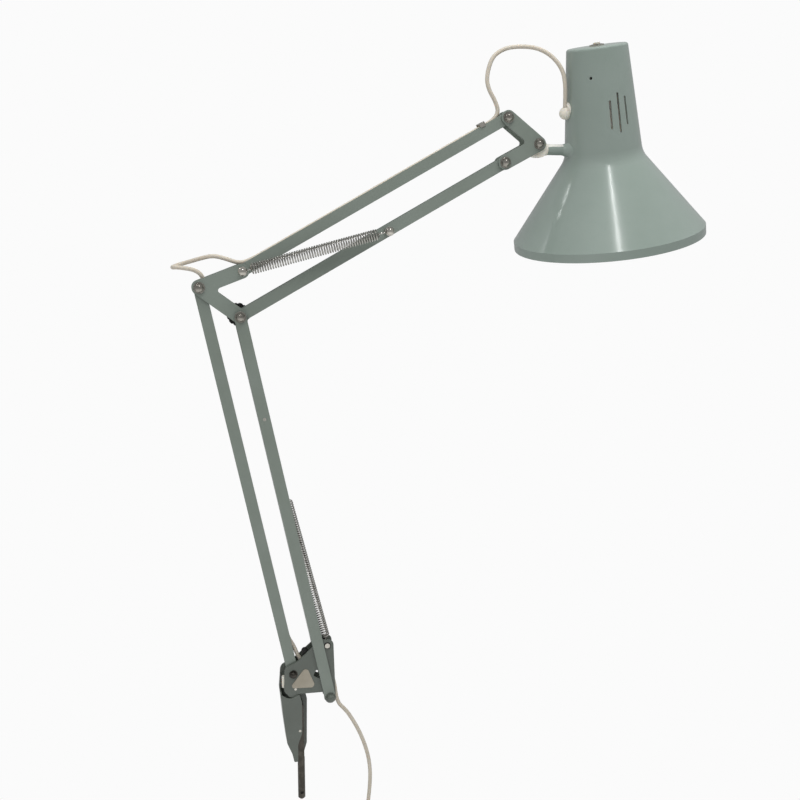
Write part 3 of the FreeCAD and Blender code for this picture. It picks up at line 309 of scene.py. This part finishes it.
ARM_ENAMEL = enamel("arm_enamel", "#7F8880", "#788178", 0.34, 0.2)
# The base gets a darker copy of the arms' enamel: painted shade, for the light that falls from above.
BASE_ENAMEL_PAINTED_SHADE = enamel("base_enamel_painted_shade", "#5F655E", "#575D56", 0.38, 0.25)
# The lampshade gets a lighter copy of the same enamel: painted light, for the top light falling on it.
LAMPSHADE_ENAMEL_PAINTED_LIGHT = enamel("shade_enamel", "#8E9A93", "#88958D", 0.2, 0.08, inside_hex="#ECEBE4", edge=0.0)
print("enamels made")

# %% [markdown]
# ## Plated and bare metals
# Nuts and washers are steel with bright nickel plate. Nickel is a warm silver, and handling leaves
# scratches finer than the picture shows, so they are drawn as a stretched noise in the roughness and, very
# faintly, in the height. The springs are hard-drawn wire, greyer. The pin is bare steel, given a dark
# grey-brown.

# %% Metals


def metal(name, hex_value, dull_hex, roughness, scratch=0.10, scale=(600, 600, 60)):
    material, tree, shader, place = blank_material(name)
    stretched = node(tree, "ShaderNodeMapping", None, {"Vector": place})
    stretched.inputs["Scale"].default_value = scale
    grain = node(tree, "ShaderNodeTexNoise", None, {"Vector": stretched.outputs[0]}, Scale=1.0, Detail=3.0)
    patch = node(tree, "ShaderNodeTexNoise", None, {"Vector": place}, Scale=160.0, Detail=2.0)
    dullness = ramp(tree, patch.outputs["Fac"], 0.42, 0.68)
    base = blend_colours(tree, dullness, colour(hex_value), colour(dull_hex))
    rough = ramp(tree, grain.outputs["Fac"], 0.3, 0.7, max(0.02, roughness - scratch / 2), roughness + scratch)
    rounded = node(tree, "ShaderNodeBevel", {"samples": 4}, None, Radius=0.0003)
    bump = node(tree, "ShaderNodeBump", None, {"Height": grain.outputs["Fac"], "Normal": rounded.outputs[0]},
                Strength=0.06, Distance=0.00005)
    tree.links.new(base, shader.inputs["Base Color"])
    tree.links.new(rough, shader.inputs["Roughness"])
    tree.links.new(bump.outputs[0], shader.inputs["Normal"])
    shader.inputs["Metallic"].default_value = 1.0
    return material


NICKEL = metal("bright_nickel", "#CFCBC2", "#B3AFA6", 0.16)
# The cap nuts get a darker copy of the bright nickel: a painted dark reflection.
CAP_NICKEL_PAINTED_DARK = metal("cap_nut_nickel_painted_dark", "#ABA79F", "#8F8B83", 0.2)
# A darker steel for the rear bolt and nut at the base.
DARK_STEEL = metal("dark_rear_bolt_steel", "#4A4743", "#5C5852", 0.3)
SPRING_WIRE = metal("drawn_spring_wire", "#C4C2BC", "#A9A7A1", 0.2)
PIN_STEEL = metal("dark_pin_steel", "#4B4843", "#5D5953", 0.32, 0.15, (900, 900, 30))
BRASS = metal("turned_brass", "#C8A560", "#A5854A", 0.22)
SPUN_ALUMINIUM = metal("spun_aluminium", "#C9CACB", "#B4B5B6", 0.28, 0.12, (300, 300, 1500))
print("metals made")

# %% [markdown]
# ## Plastics, rubber, glass and cord
# Moulded plastic has a soft, even sheen with a faint grain from the tool. Cord sheath is PVC: waxy, a
# little see-through, and yellowed by age in blotches. Rubber scatters nearly all light. The bulb's glass is
# acid-frosted, so it reads as milky rather than clear.

# %% Plastics and the rest


def moulded(name, hex_value, second_hex, roughness, grain_mm=0.6, grain_strength=0.12, subsurface=0.0):
    material, tree, shader, place = blank_material(name)
    blotch = node(tree, "ShaderNodeTexNoise", None, {"Vector": place}, Scale=55.0, Detail=3.0)
    yellowing = ramp(tree, blotch.outputs["Fac"], 0.38, 0.68)
    base = blend_colours(tree, yellowing, colour(hex_value), colour(second_hex))
    grain = node(tree, "ShaderNodeTexNoise", None, {"Vector": place}, Scale=1.0 / (grain_mm * MM), Detail=2.0)
    rounded = node(tree, "ShaderNodeBevel", {"samples": 4}, None, Radius=0.0004)
    bump = node(tree, "ShaderNodeBump", None, {"Height": grain.outputs["Fac"], "Normal": rounded.outputs[0]},
                Strength=grain_strength, Distance=0.0001)
    tree.links.new(base, shader.inputs["Base Color"])
    tree.links.new(bump.outputs[0], shader.inputs["Normal"])
    tree.links.new(ramp(tree, grain.outputs["Fac"], 0.3, 0.7, roughness - 0.04, roughness + 0.06),
                   shader.inputs["Roughness"])
    shader.inputs["IOR"].default_value = 1.46
    if subsurface:
        shader.inputs["Subsurface Weight"].default_value = subsurface
        shader.inputs["Subsurface Radius"].default_value = (0.002, 0.0015, 0.001)
        shader.inputs["Subsurface Scale"].default_value = 1.0
    return material


CORD_PVC = moulded("aged_pvc_cord", "#CBC3B5", "#C2B9AA", 0.38, 1.2, 0.10, 0.15)
NYLON = moulded("natural_nylon", "#E6E2D6", "#DCD7C9", 0.34, 0.8, 0.08, 0.2)
BLACK_PLASTIC = moulded("black_phenolic", "#1B1B1B", "#232221", 0.3, 0.5, 0.15)
BLACK_RUBBER = moulded("black_rubber", "#161616", "#201F1E", 0.7, 0.4, 0.3)
PORCELAIN = moulded("glazed_porcelain", "#EDEAE2", "#E4E0D6", 0.14, 2.5, 0.05, 0.1)
BADGE_PAINT = moulded("badge_lacquer", "#A9A293", "#9D9586", 0.42, 0.5, 0.2)


def frosted_glass():
    material, tree, shader, place = blank_material("acid_frosted_glass")
    frost = node(tree, "ShaderNodeTexNoise", None, {"Vector": place}, Scale=1500.0, Detail=2.0)
    bump = node(tree, "ShaderNodeBump", None, {"Height": frost.outputs["Fac"]}, Strength=0.1, Distance=0.00005)
    milk = blend_colours(tree, frost.outputs["Fac"], colour("#F4F2EA"), colour("#E8E5DC"))
    tree.links.new(milk, shader.inputs["Base Color"])
    tree.links.new(bump.outputs[0], shader.inputs["Normal"])
    shader.inputs["Roughness"].default_value = 0.32
    shader.inputs["IOR"].default_value = 1.45
    shader.inputs["Transmission Weight"].default_value = 0.35
    return material


FROSTED = frosted_glass()
print("soft finishes made")

# %% Paint the CAD nodes
FINISHES = {
    ARM_ENAMEL: ["rear_arm", "front_arm", "upper_top_bar", "upper_bottom_bar", "elbow_plate_near",
                 "elbow_plate_far", "fork_plate_near", "fork_plate_far"],
    BASE_ENAMEL_PAINTED_SHADE: ["base_plate_near", "base_plate_far", "yoke"],
    LAMPSHADE_ENAMEL_PAINTED_LIGHT: ["shade_shell", "shade_bracket"],
    NICKEL: ["base_nuts", "base_bolts", "base_washers", "elbow_bolts", "elbow_spring_stud", "elbow_nuts",
             "elbow_washers", "fork_bolts", "fork_nuts", "fork_washers", "yoke_rivets", "front_arm_spring_pin",
             "lower_spring_anchor", "bracket_nut", "cord_clip", "bottom_bar_spring_stud", "switch_nut"],
    PIN_STEEL: ["swivel_pin"],
    SPRING_WIRE: ["lower_spring", "upper_spring"],
    BLACK_RUBBER: ["stop_buffer"],
    BLACK_PLASTIC: ["friction_knob", "switch_body"],
    NYLON: ["yoke_bush", "knuckle", "knuckle_collar", "cord_grommet", "switch_button"],
    CORD_PVC: ["cord_in_base", "cord_in_rear_arm", "cord_in_top_bar", "elbow_cord_rear", "elbow_cord_top",
               "head_cord_bar", "head_cord_fork", "head_cord_shade", "lead_free", "lead_coil", "lead_tail",
               "plug"],
    BRASS: ["plug_pins", "lampholder_contact"],
    PORCELAIN: ["lampholder_shell"],
    SPUN_ALUMINIUM: ["bulb_cap", "holder_plate"],
    BADGE_PAINT: ["badge_plate"],
    FROSTED: ["bulb_glass"],
}
for material, names in FINISHES.items():
    for name in names:
        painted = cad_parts[name]
        painted.data.materials.clear()
        painted.data.materials.append(material)
print("painted", sum(len(names) for names in FINISHES.values()), "nodes")

# %% [markdown]
# ## Cords
# The lead is limp two-core PVC, 3.8 mm across. It runs inside the rear arm and the top bar, and where it
# crosses a joint it makes a slack loop, so that the joint can open without pulling it. Each loop is a NURBS
# line whose control points are listed: the line stays smooth however few they are. The loops are cut where
# the bodies meet, and each length names the two bodies it crosses, but here it is baked where it lies and
# does not bend with them.

# %% Cord helpers
CORD_RADIUS = 1.9 * MM


def cord_curve(name, points):
    """A round cord along a smooth NURBS line with these control points, in millimetres."""
    data = bpy.data.curves.new(name, "CURVE")
    data.dimensions = "3D"
    spline = data.splines.new("NURBS")
    spline.points.add(len(points) - 1)
    for slot, point in zip(spline.points, points):
        slot.co = (*(c * MM for c in point), 1.0)
    spline.order_u = 3
    spline.use_endpoint_u = True
    spline.resolution_u = 8
    data.bevel_depth = CORD_RADIUS
    data.bevel_resolution = 5
    data.use_fill_caps = True
    piece = bpy.data.objects.new(name, data)
    bpy.context.collection.objects.link(piece)
    data.materials.append(CORD_PVC)
    return piece


def as_mesh(piece):
    only(piece)
    bpy.ops.object.convert(target="MESH")
    return smooth(outward(bpy.context.object), 60)


def arm_point(start, turn, across, along):
    x, z = along_arm(start, turn, across, along)
    return (x, 0, z)


REAR_ACROSS = 3.2
TOP_ACROSS = -4.3
REAR_CORD_LOW = arm_point(REAR_BASE, LOWER_TURN, REAR_ACROSS, 44.0)
REAR_CORD_HIGH = arm_point(REAR_BASE, LOWER_TURN, REAR_ACROSS, LOWER_LENGTH - 24.0)
TOP_CORD_START = arm_point(TOP_ELBOW, UPPER_TURN, TOP_ACROSS, 24.0)
TOP_CORD_END = arm_point(TOP_ELBOW, UPPER_TURN, TOP_ACROSS, UPPER_LENGTH - 20.0)
LEAD_EXIT = (34.5, 0, 70.0)
ELBOW_MEET = (-92.0, -7.0, 478.05)
HEAD_LEFT = (181.65, 0, 658.0)
HEAD_TOP = (212.0, -1.0, 677.2)
CORD_END = (253.6, -6.4, 620.6)

# %% Held cords, each cut at its joint
HELD_CORDS = [
    ("cord_in_base", [REAR_CORD_LOW, arm_point(REAR_BASE, LOWER_TURN, REAR_ACROSS, 35.0), (-5.5, 0, 120.5),
                      (-1.2, 0, 109.0), (5.0, 0, 99.5), (16.5, 0, 95.5), (28.0, 0, 92.0), (33.4, 0, 81.5),
                      LEAD_EXIT],
     "base", "rear_arm", (5.0, 0, 99.5), REAR_CORD_LOW),
    ("elbow_cord_rear", [REAR_CORD_HIGH, arm_point(REAR_BASE, LOWER_TURN, REAR_ACROSS, LOWER_LENGTH - 11.0),
                         (-77.6, 0, 465.5), (-83.0, -4.5, 476.5), ELBOW_MEET],
     "rear_arm", "elbow", REAR_CORD_HIGH, (-83.0, -4.5, 476.5)),
    ("elbow_cord_top", [ELBOW_MEET, (-101.0, -9.5, 479.6), (-106.8, 0, 479.0), (-101.0, 9.5, 481.0),
                        (-90.5, 8.0, 484.0), (-80.0, 3.5, 487.2), (-70.0, 0.5, 489.4), (-58.5, 0, 486.4),
                        (-47.5, 0, 482.4), arm_point(TOP_ELBOW, UPPER_TURN, TOP_ACROSS, 12.0), TOP_CORD_START],
     "elbow", "top_bar", (-80.0, 3.5, 487.2), TOP_CORD_START),
    ("head_cord_bar", [TOP_CORD_END, arm_point(TOP_ELBOW, UPPER_TURN, TOP_ACROSS, UPPER_LENGTH - 11.0),
                       (191.5, 0, 620.0), (187.6, 0, 629.5), (181.6, 0, 638.8), (179.3, 0, 649.5), HEAD_LEFT],
     "top_bar", "fork", TOP_CORD_END, HEAD_LEFT),
    ("head_cord_fork", [HEAD_LEFT, (184.0, 0, 666.5), (193.0, 0, 673.6), (203.5, 0, 677.0), HEAD_TOP],
     "fork", "knuckle", HEAD_LEFT, HEAD_TOP),
    ("head_cord_shade", [HEAD_TOP, (220.5, -2.0, 677.4), (232.5, -5.0, 673.8), (242.5, -8.5, 665.8),
                         (248.7, -11.5, 655.5), (250.6, -12.5, 645.0), (251.7, -11.2, 636.5), CORD_END],
     "knuckle", "shade", HEAD_TOP, (250.6, -12.5, 645.0)),
]
for name, points, first_body, second_body, start, end in HELD_CORDS:
    loop = as_mesh(cord_curve(name + "_flex", points))
    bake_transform(loop)
    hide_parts(name)
for name, points, body in (("cord_in_rear_arm", [REAR_CORD_LOW, REAR_CORD_HIGH], "rear_arm"),
                           ("cord_in_top_bar", [TOP_CORD_START, TOP_CORD_END], "top_bar")):
    middle = [(a + b) / 2 for a, b in zip(*points)]
    straight = as_mesh(cord_curve(name + "_flex", [points[0], middle, points[1]]))
    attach(straight, body)
    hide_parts(name)
print("held cords:", len(HELD_CORDS) + 2)

# %% [markdown]
# ## The mains lead
# The lead leaves the base plates on the right and hangs, and the length that the photograph doesn't show is
# wound into a neat coil of two layers, one layer in and one layer out. The coil is worked out by a loop,
# sixteen points to a turn, as more control points of the same NURBS line.

# %% The lead's line
COIL_OUTER = 39.4
COIL_CENTRE = (64.2 + COIL_OUTER, -104.0)
COIL_STEP = 5.1
COIL_TURNS = 4
LAYER_STEP = 5.4
CLIMB_TUCK = 1.3
POINTS_PER_QUARTER = 4


def coil_radius_and_height(quarter):
    """The coil's radius and layer height after so many quarter turns."""
    last_in = 4 * COIL_TURNS
    inner = COIL_OUTER - COIL_STEP * COIL_TURNS
    if quarter <= last_in:
        return COIL_OUTER - COIL_STEP * quarter / 4, 0.0
    if quarter <= last_in + 2:
        climb = (quarter - last_in) / 2
        return inner - CLIMB_TUCK * math.sin(math.pi * climb), LAYER_STEP * (3 - 2 * climb) * climb ** 2
    return inner + COIL_STEP * (quarter - last_in - 2) / 4, LAYER_STEP


LEAD_POINTS = [LEAD_EXIT, (35.6, 0, 58.5), (44.5, 0, 49.5), (51.2, 0, 38.5), (57.5, 0, 26.0), (63.2, 0, 11.0),
               (67.2, 0, -4.5), (68.6, 0, -21.0), (67.6, 0, -38.0), (65.4, 0, -56.0), (64.3, 0, -76.0),
               (64.2, 0, -90.0), (64.2, 0, -100.0)]
coil_steps = (8 * COIL_TURNS) * POINTS_PER_QUARTER
for i in range(1, coil_steps + 1):
    quarter = i / POINTS_PER_QUARTER
    radius, height = coil_radius_and_height(quarter)
    turn = math.pi + math.pi / 2 * quarter
    LEAD_POINTS.append((COIL_CENTRE[0] + radius * math.cos(turn), height,
                        COIL_CENTRE[1] + radius * math.sin(turn)))
TAIL_END = (66.75, LAYER_STEP, -155.8)
LEAD_POINTS += [(66.75, LAYER_STEP, -114.0), (66.75, LAYER_STEP, -134.0), TAIL_END]
lead = cord_curve("mains_lead", LEAD_POINTS)
lead.data.splines[0].resolution_u = 4
lead.data.bevel_resolution = 4
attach(lead, "base")
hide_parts("lead_free", "lead_coil", "lead_tail")
print("lead control points:", len(LEAD_POINTS))

# %% [markdown]
# ## The plug
# A moulded two-pin plug: a round body, a waist that a finger pulls on, and a ribbed neck that keeps the
# cord from kinking. It starts as a circle, which is extruded and scaled to the profile ring after ring.
# Only the pins stay as CAD made them.

# %% Plug body
PLUG_RINGS = [(0, 8.2), (1.2, 8.8), (8, 8.8), (10, 8.4), (16, 6.9), (22, 6.4), (24, 5.2), (25, 4.2),
              (26.5, 4.9), (28, 4.0), (29.5, 4.7), (31, 3.8), (32.5, 4.5), (34, 3.5), (36, 3.1)]
PLUG_LENGTH = 36.0
PLUG_FACE_Z = TAIL_END[2] - PLUG_LENGTH


def turned(name, rings, axis_frame, segments=48):
    """A turned piece: a circle is added, then extruded and scaled ring after ring, as on a lathe."""
    nothing_selected()
    start_height, start_radius = rings[0]
    bpy.ops.mesh.primitive_circle_add(vertices=segments, radius=start_radius * MM, fill_type="NGON",
                                      location=(0, 0, start_height * MM))
    piece = apply_place(new_piece(name))
    only(piece)
    bpy.ops.object.mode_set(mode="EDIT")
    bpy.ops.mesh.select_mode(type="EDGE")
    bpy.ops.mesh.select_all(action="SELECT")
    for before, ring in zip(rings, rings[1:]):
        rise = (ring[0] - before[0]) * MM
        bpy.ops.mesh.extrude_edges_move(TRANSFORM_OT_translate={"value": (0, 0, rise)})
        grow = ring[1] / before[1]
        bpy.ops.transform.resize(value=(grow, grow, 1), center_override=(0, 0, ring[0] * MM))
    bpy.ops.mesh.edge_face_add()
    bpy.ops.object.mode_set(mode="OBJECT")
    piece.data.transform(axis_frame)
    return smooth(outward(piece), 40)


plug = turned("moulded_plug", PLUG_RINGS, Matrix.Translation(v(TAIL_END[0], TAIL_END[1], PLUG_FACE_Z)))
plug.data.materials.append(CORD_PVC)
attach(plug, "base")
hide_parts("plug")

# %% Coil tie: a wire tie round the turns at the coil's far side
TIE_ANGLE = math.radians(20)
TIE_HALF_SIZE = (14.6, 6.6, 9)
tie_radius = COIL_OUTER - COIL_STEP * COIL_TURNS / 2
bpy.ops.mesh.primitive_torus_add(major_radius=1.0, minor_radius=0.08, major_segments=40, minor_segments=8)
coil_tie = new_piece("coil_tie")
coil_tie.scale = v(*TIE_HALF_SIZE)
coil_tie.rotation_euler = (0, -TIE_ANGLE, 0)
coil_tie.location = v(COIL_CENTRE[0] + tie_radius * math.cos(TIE_ANGLE), LAYER_STEP / 2,
                      COIL_CENTRE[1] + tie_radius * math.sin(TIE_ANGLE))
apply_place(coil_tie)
smooth(coil_tie, 60)
coil_tie.data.materials.append(BLACK_PLASTIC)
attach(coil_tie, "base")

# %% [markdown]
# ## Springs
# The photographed springs are close-wound. Here the curls stand about 0.9 mm apart, wider than in the
# photograph. Each end is a ring round a pin, on a short straight shank, and the wire is 1.4 mm thick. The
# screw modifier winds it: a small circle, set off from the axis by the coil's radius, goes round once for
# each curl. The last curls narrow towards the shank, as on a real spring.

# %% Wound springs
WIRE_RADIUS = 0.7
SPRING_RADIUS = 4.55
EYE_RADIUS = 3.3
TAPER = 2.5 * MM
NARROWEST = 0.45


def wound_spring(name, start, end, coil_from, coil_to, curls):
    axis = end - start
    length = axis.length / MM
    pitch = (coil_to - coil_from) / curls
    nothing_selected()
    bpy.ops.mesh.primitive_circle_add(vertices=8, radius=WIRE_RADIUS * MM, rotation=(math.pi / 2, 0, 0),
                                      location=(SPRING_RADIUS * MM, 0, coil_from * MM))
    coil = apply_place(new_piece(name))
    screw = coil.modifiers.new("winding", "SCREW")
    screw.axis = "Z"
    screw.angle = 2 * math.pi
    screw.screw_offset = pitch * MM
    screw.iterations = curls
    screw.steps = 18
    screw.render_steps = 18
    apply_modifiers(coil)
    for vertex in coil.data.vertices:
        depth = min(vertex.co.z - coil_from * MM, coil_to * MM - vertex.co.z)
        if depth < TAPER:
            squeeze = NARROWEST + (1 - NARROWEST) * math.sin(max(depth, 0) / TAPER * math.pi / 2)
            vertex.co.x *= squeeze
            vertex.co.y *= squeeze
    pieces = [coil]
    for foot, reach, sign in ((0.0, coil_from, 1), (length, length - coil_to, -1)):
        bpy.ops.mesh.primitive_torus_add(major_radius=EYE_RADIUS * MM, minor_radius=WIRE_RADIUS * MM,
                                         major_segments=28, minor_segments=8,
                                         location=(0, 0, foot * MM), rotation=(math.pi / 2, 0, 0))
        pieces.append(apply_place(new_piece(name + "_eye")))
        hook_length = max(reach - EYE_RADIUS + 1.5, 1.0)
        hook_middle = foot + sign * (EYE_RADIUS + hook_length / 2)
        bpy.ops.mesh.primitive_cylinder_add(vertices=10, radius=WIRE_RADIUS * MM, depth=hook_length * MM,
                                            location=(0, 0, hook_middle * MM))
        pieces.append(apply_place(new_piece(name + "_shank")))
    spring = join(pieces, name)
    spring.data.transform(Matrix.Translation(start) @ axis.to_track_quat("Z", "Y").to_matrix().to_4x4())
    smooth(spring, 60)
    spring.data.materials.append(SPRING_WIRE)
    print(name, "pitch %.2f mm" % pitch)
    return spring


SPRING_PIN_ALONG = 280.0
SPRING_PIN = along_arm(FRONT_BASE, LOWER_TURN, 0, SPRING_PIN_ALONG)
# Where each coil starts and ends along its axis, and its number of curls.
LOWER_COIL = (6.0, 148.0, 62)
UPPER_COIL = (7.0, 126.0, 52)
UPPER_SPRING_Y = -16.0
UPPER_SPRING_END = (84.6, 511.8)
bottom_offset = Vector((UPPER_SPRING_END[0] - FRONT_ELBOW[0], UPPER_SPRING_END[1] - FRONT_ELBOW[1]))
stud_along = bottom_offset.dot(Vector((math.cos(RISE), math.sin(RISE))))
STUD = along_arm(FRONT_ELBOW, UPPER_TURN, 0, stud_along)
anchor_point = v(SPRING_ANCHOR[0], 0, SPRING_ANCHOR[1])
pin_point = v(SPRING_PIN[0], 0, SPRING_PIN[1])
lower_coil = wound_spring("lower_spring_coil", anchor_point, pin_point, *LOWER_COIL)
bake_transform(lower_coil)
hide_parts("lower_spring")
stud_near = v(TOP_ELBOW[0], UPPER_SPRING_Y, TOP_ELBOW[1])
stud_far = v(STUD[0], UPPER_SPRING_Y, STUD[1])
upper_coil = wound_spring("upper_spring_coil", stud_near, stud_far, *UPPER_COIL)
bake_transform(upper_coil)
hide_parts("upper_spring")

# %% [markdown]
# ## Cap nuts
# Nearly every pivot is closed by a cap nut on a plain washer: a low hexagon for the spanner with a dome on
# top. The elbow's front bolt has its knob on the far side instead. One function makes the nut, and each
# pivot's nut is turned a little differently, because no two were tightened alike.

# %% Cap nuts at the pivots
DOME_RINGS = [(0.0, 5.1), (0.6, 5.1), (0.62, 3.9), (2.4, 3.9), (3.0, 3.75), (3.6, 3.4), (4.2, 2.8), (4.7, 2.1),
              (5.1, 1.2), (5.25, 0.3)]
HEX_HIGH = 1.9
HEX_RADIUS = 4.45
HEX_BEVEL = 0.25
WASHER_THICK = 0.6
SHANK_RADIUS = 2.45


def cap_nut(name, place, y_face, sign, turn, scale):
    """A cap nut on its washer, standing on the face at y_face and pointing to the side that sign gives."""
    dome = turned(name + "_dome", DOME_RINGS, Matrix.Identity(4), 32)
    bpy.ops.mesh.primitive_cylinder_add(vertices=6, radius=HEX_RADIUS * MM, depth=HEX_HIGH * MM,
                                        location=(0, 0, (WASHER_THICK + HEX_HIGH / 2) * MM))
    hexagon = apply_place(new_piece(name + "_hexagon"))
    only(hexagon)
    bpy.ops.object.mode_set(mode="EDIT")
    bpy.ops.mesh.select_all(action="SELECT")
    bpy.ops.mesh.bevel(offset=HEX_BEVEL * MM, segments=2)
    bpy.ops.object.mode_set(mode="OBJECT")
    nut = join([dome, hexagon], name)
    stand = Matrix.Rotation(math.radians(-90 if sign > 0 else 90), 4, "X")
    nut.data.transform(Matrix.Translation(v(place[0], y_face, place[1])) @ stand @ Matrix.Rotation(turn, 4, "Z")
                       @ Matrix.Scale(scale, 4))
    return nut


def shank(name, place, y_from, y_to):
    bpy.ops.mesh.primitive_cylinder_add(vertices=32, radius=SHANK_RADIUS * MM, depth=(y_to - y_from) * MM,
                                        rotation=(math.pi / 2, 0, 0),
                                        location=v(place[0], (y_from + y_to) / 2, place[1]))
    return apply_place(new_piece(name))


PLATE_OUTER = 7.2
FRONT_FACE = 9.7
KNOB_FACE = 22.0
NUT_TURN = 0.37
NUT_SETS = [
    ("base_bolts", "base", [(REAR_BASE, PLATE_OUTER, -1, PLATE_OUTER, DARK_STEEL, 0.8),
                            (FRONT_BASE, FRONT_FACE, -1, FRONT_FACE, BASE_ENAMEL_PAINTED_SHADE, 1.0)]),
    ("base_nuts", "base", [(REAR_BASE, PLATE_OUTER, 1, None, DARK_STEEL, 0.8),
                           (FRONT_BASE, FRONT_FACE, 1, None, CAP_NICKEL_PAINTED_DARK, 1.0)]),
    ("elbow_bolts", "elbow", [(REAR_ELBOW, PLATE_OUTER, -1, PLATE_OUTER, CAP_NICKEL_PAINTED_DARK, 1.0),
                              (FRONT_ELBOW, FRONT_FACE, -1, KNOB_FACE, CAP_NICKEL_PAINTED_DARK, 1.0)]),
    ("elbow_nuts", "elbow", [(place, PLATE_OUTER, 1, None, CAP_NICKEL_PAINTED_DARK, 1.0)
                             for place in (REAR_ELBOW, TOP_ELBOW)]),
    ("fork_bolts", "fork", [(place, PLATE_OUTER, -1, PLATE_OUTER, CAP_NICKEL_PAINTED_DARK, 1.0)
                            for place in (TOP_FORK, BOTTOM_FORK, FORK_NOSE)]),
    ("fork_nuts", "fork", [(place, PLATE_OUTER, 1, None, CAP_NICKEL_PAINTED_DARK, 1.0)
                           for place in (TOP_FORK, BOTTOM_FORK, FORK_NOSE)]),
]
for set_index, (name, body, stands) in enumerate(NUT_SETS):
    made = []
    for index, (place, face, sign, shank_end, finish, scale) in enumerate(stands):
        turn = NUT_TURN * (index + 2 * set_index)
        nut = cap_nut("%s_cap_%d" % (name, index), place, sign * face, sign, turn, scale)
        nut.data.materials.clear()
        nut.data.materials.append(finish)
        made.append(nut)
        if shank_end:
            stem = shank("%s_shank_%d" % (name, index), place, -face, shank_end)
            stem.data.materials.append(finish)
            made.append(stem)
    nuts = smooth(join(made, name + "_finished"), 35)
    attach(nuts, body)
    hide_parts(name)
print("nut sets:", len(NUT_SETS))

# %% Black sleeve on the lower spring's anchor
SLEEVE_RADIUS = 2.9
SLEEVE_THICK = 0.38
SLEEVE_STAND_OFF = 0.25
sleeve_y = -PLATE_OUTER - SLEEVE_STAND_OFF
bpy.ops.mesh.primitive_torus_add(major_radius=SLEEVE_RADIUS * MM, minor_radius=SLEEVE_THICK * MM,
                                 major_segments=36, minor_segments=8, rotation=(math.pi / 2, 0, 0),
                                 location=v(SPRING_ANCHOR[0], sleeve_y, SPRING_ANCHOR[1]))
sleeve = apply_place(new_piece("anchor_sleeve"))
smooth(sleeve, 60)
sleeve.data.materials.append(BLACK_RUBBER)
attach(sleeve, "base")

# %% [markdown]
# ## Floor and light
# The photograph is lit softly from above and in front, on white. Two broad lamps above fill it without
# showing in the enamel, and two narrow ones draw the long highlights on the cone. The camera sees the floor
# and the room as one even white.

# %% Stage
FLOOR_Z = -0.26
bpy.ops.mesh.primitive_plane_add(size=14, location=(0, 0, FLOOR_Z))
floor = new_piece("pale_floor")
floor_material, floor_tree, floor_shader, floor_place = blank_material("matte_paper")
paper = node(floor_tree, "ShaderNodeTexNoise", None, {"Vector": floor_place}, Scale=2.0, Detail=2.0)
floor_tree.links.new(blend_colours(floor_tree, paper.outputs["Fac"], colour("#F7F7F6"), colour("#FBFBFA")),
                     floor_shader.inputs["Base Color"])
floor_shader.inputs["Roughness"].default_value = 0.9
seen = node(floor_tree, "ShaderNodeLightPath").outputs["Is Camera Ray"]
glow = node(floor_tree, "ShaderNodeEmission", None, None, Color=colour("#FBFBFB"), Strength=1.0)
sheet = node(floor_tree, "ShaderNodeMixShader")
floor_tree.links.new(seen, sheet.inputs[0])
floor_tree.links.new(floor_shader.outputs[0], sheet.inputs[1])
floor_tree.links.new(glow.outputs[0], sheet.inputs[2])
floor_output = [item for item in floor_tree.nodes if item.type == "OUTPUT_MATERIAL"][0]
floor_tree.links.new(sheet.outputs[0], floor_output.inputs[0])
floor.data.materials.append(floor_material)

world = bpy.data.worlds.new("studio")
bpy.context.scene.world = world
world.use_nodes = True
sky = world.node_tree
backdrop = sky.nodes["Background"]
backdrop.inputs["Color"].default_value = colour("#FBFBFB")
backdrop.inputs["Strength"].default_value = 1.0
ambient = node(sky, "ShaderNodeBackground", None, None, Color=(0.95, 0.96, 0.97, 1), Strength=0.42)
sky_ray = node(sky, "ShaderNodeLightPath").outputs["Is Camera Ray"]
sky_mix = node(sky, "ShaderNodeMixShader")
sky.links.new(sky_ray, sky_mix.inputs[0])
sky.links.new(ambient.outputs[0], sky_mix.inputs[1])
sky.links.new(backdrop.outputs[0], sky_mix.inputs[2])
sky_output = [item for item in sky.nodes if item.type == "OUTPUT_WORLD"][0]
sky.links.new(sky_mix.outputs[0], sky_output.inputs[0])


def soft_light(name, place, aim, size_x, size_y, power):
    data = bpy.data.lights.new(name, "AREA")
    data.shape = "RECTANGLE"
    data.size = size_x
    data.size_y = size_y
    data.energy = power
    light = bpy.data.objects.new(name, data)
    bpy.context.collection.objects.link(light)
    light.location = place
    light.rotation_euler = (Vector(aim) - Vector(place)).to_track_quat("-Z", "Y").to_euler()
    return light


key = soft_light("key_light", (-0.9, -1.5, 1.9), (0.1, 0, 0.4), 0.9, 0.9, 13)
key.visible_glossy = False
top = soft_light("top_light", (0.5, -0.3, 2.0), (0.2, 0, 0.5), 1.2, 0.8, 20)
top.visible_glossy = False
soft_light("highlight_lamp", (-0.01, -1.07, 1.86), (0.284, -0.052, 0.534), 0.08, 0.35, 2.8)
soft_light("faint_lamp", (-1.02, 0.49, 1.55), (0.247, -0.021, 0.533), 0.05, 0.4, 1.2)
bpy.context.scene.view_settings.view_transform = "Standard"
bpy.context.scene.view_settings.look = "None"
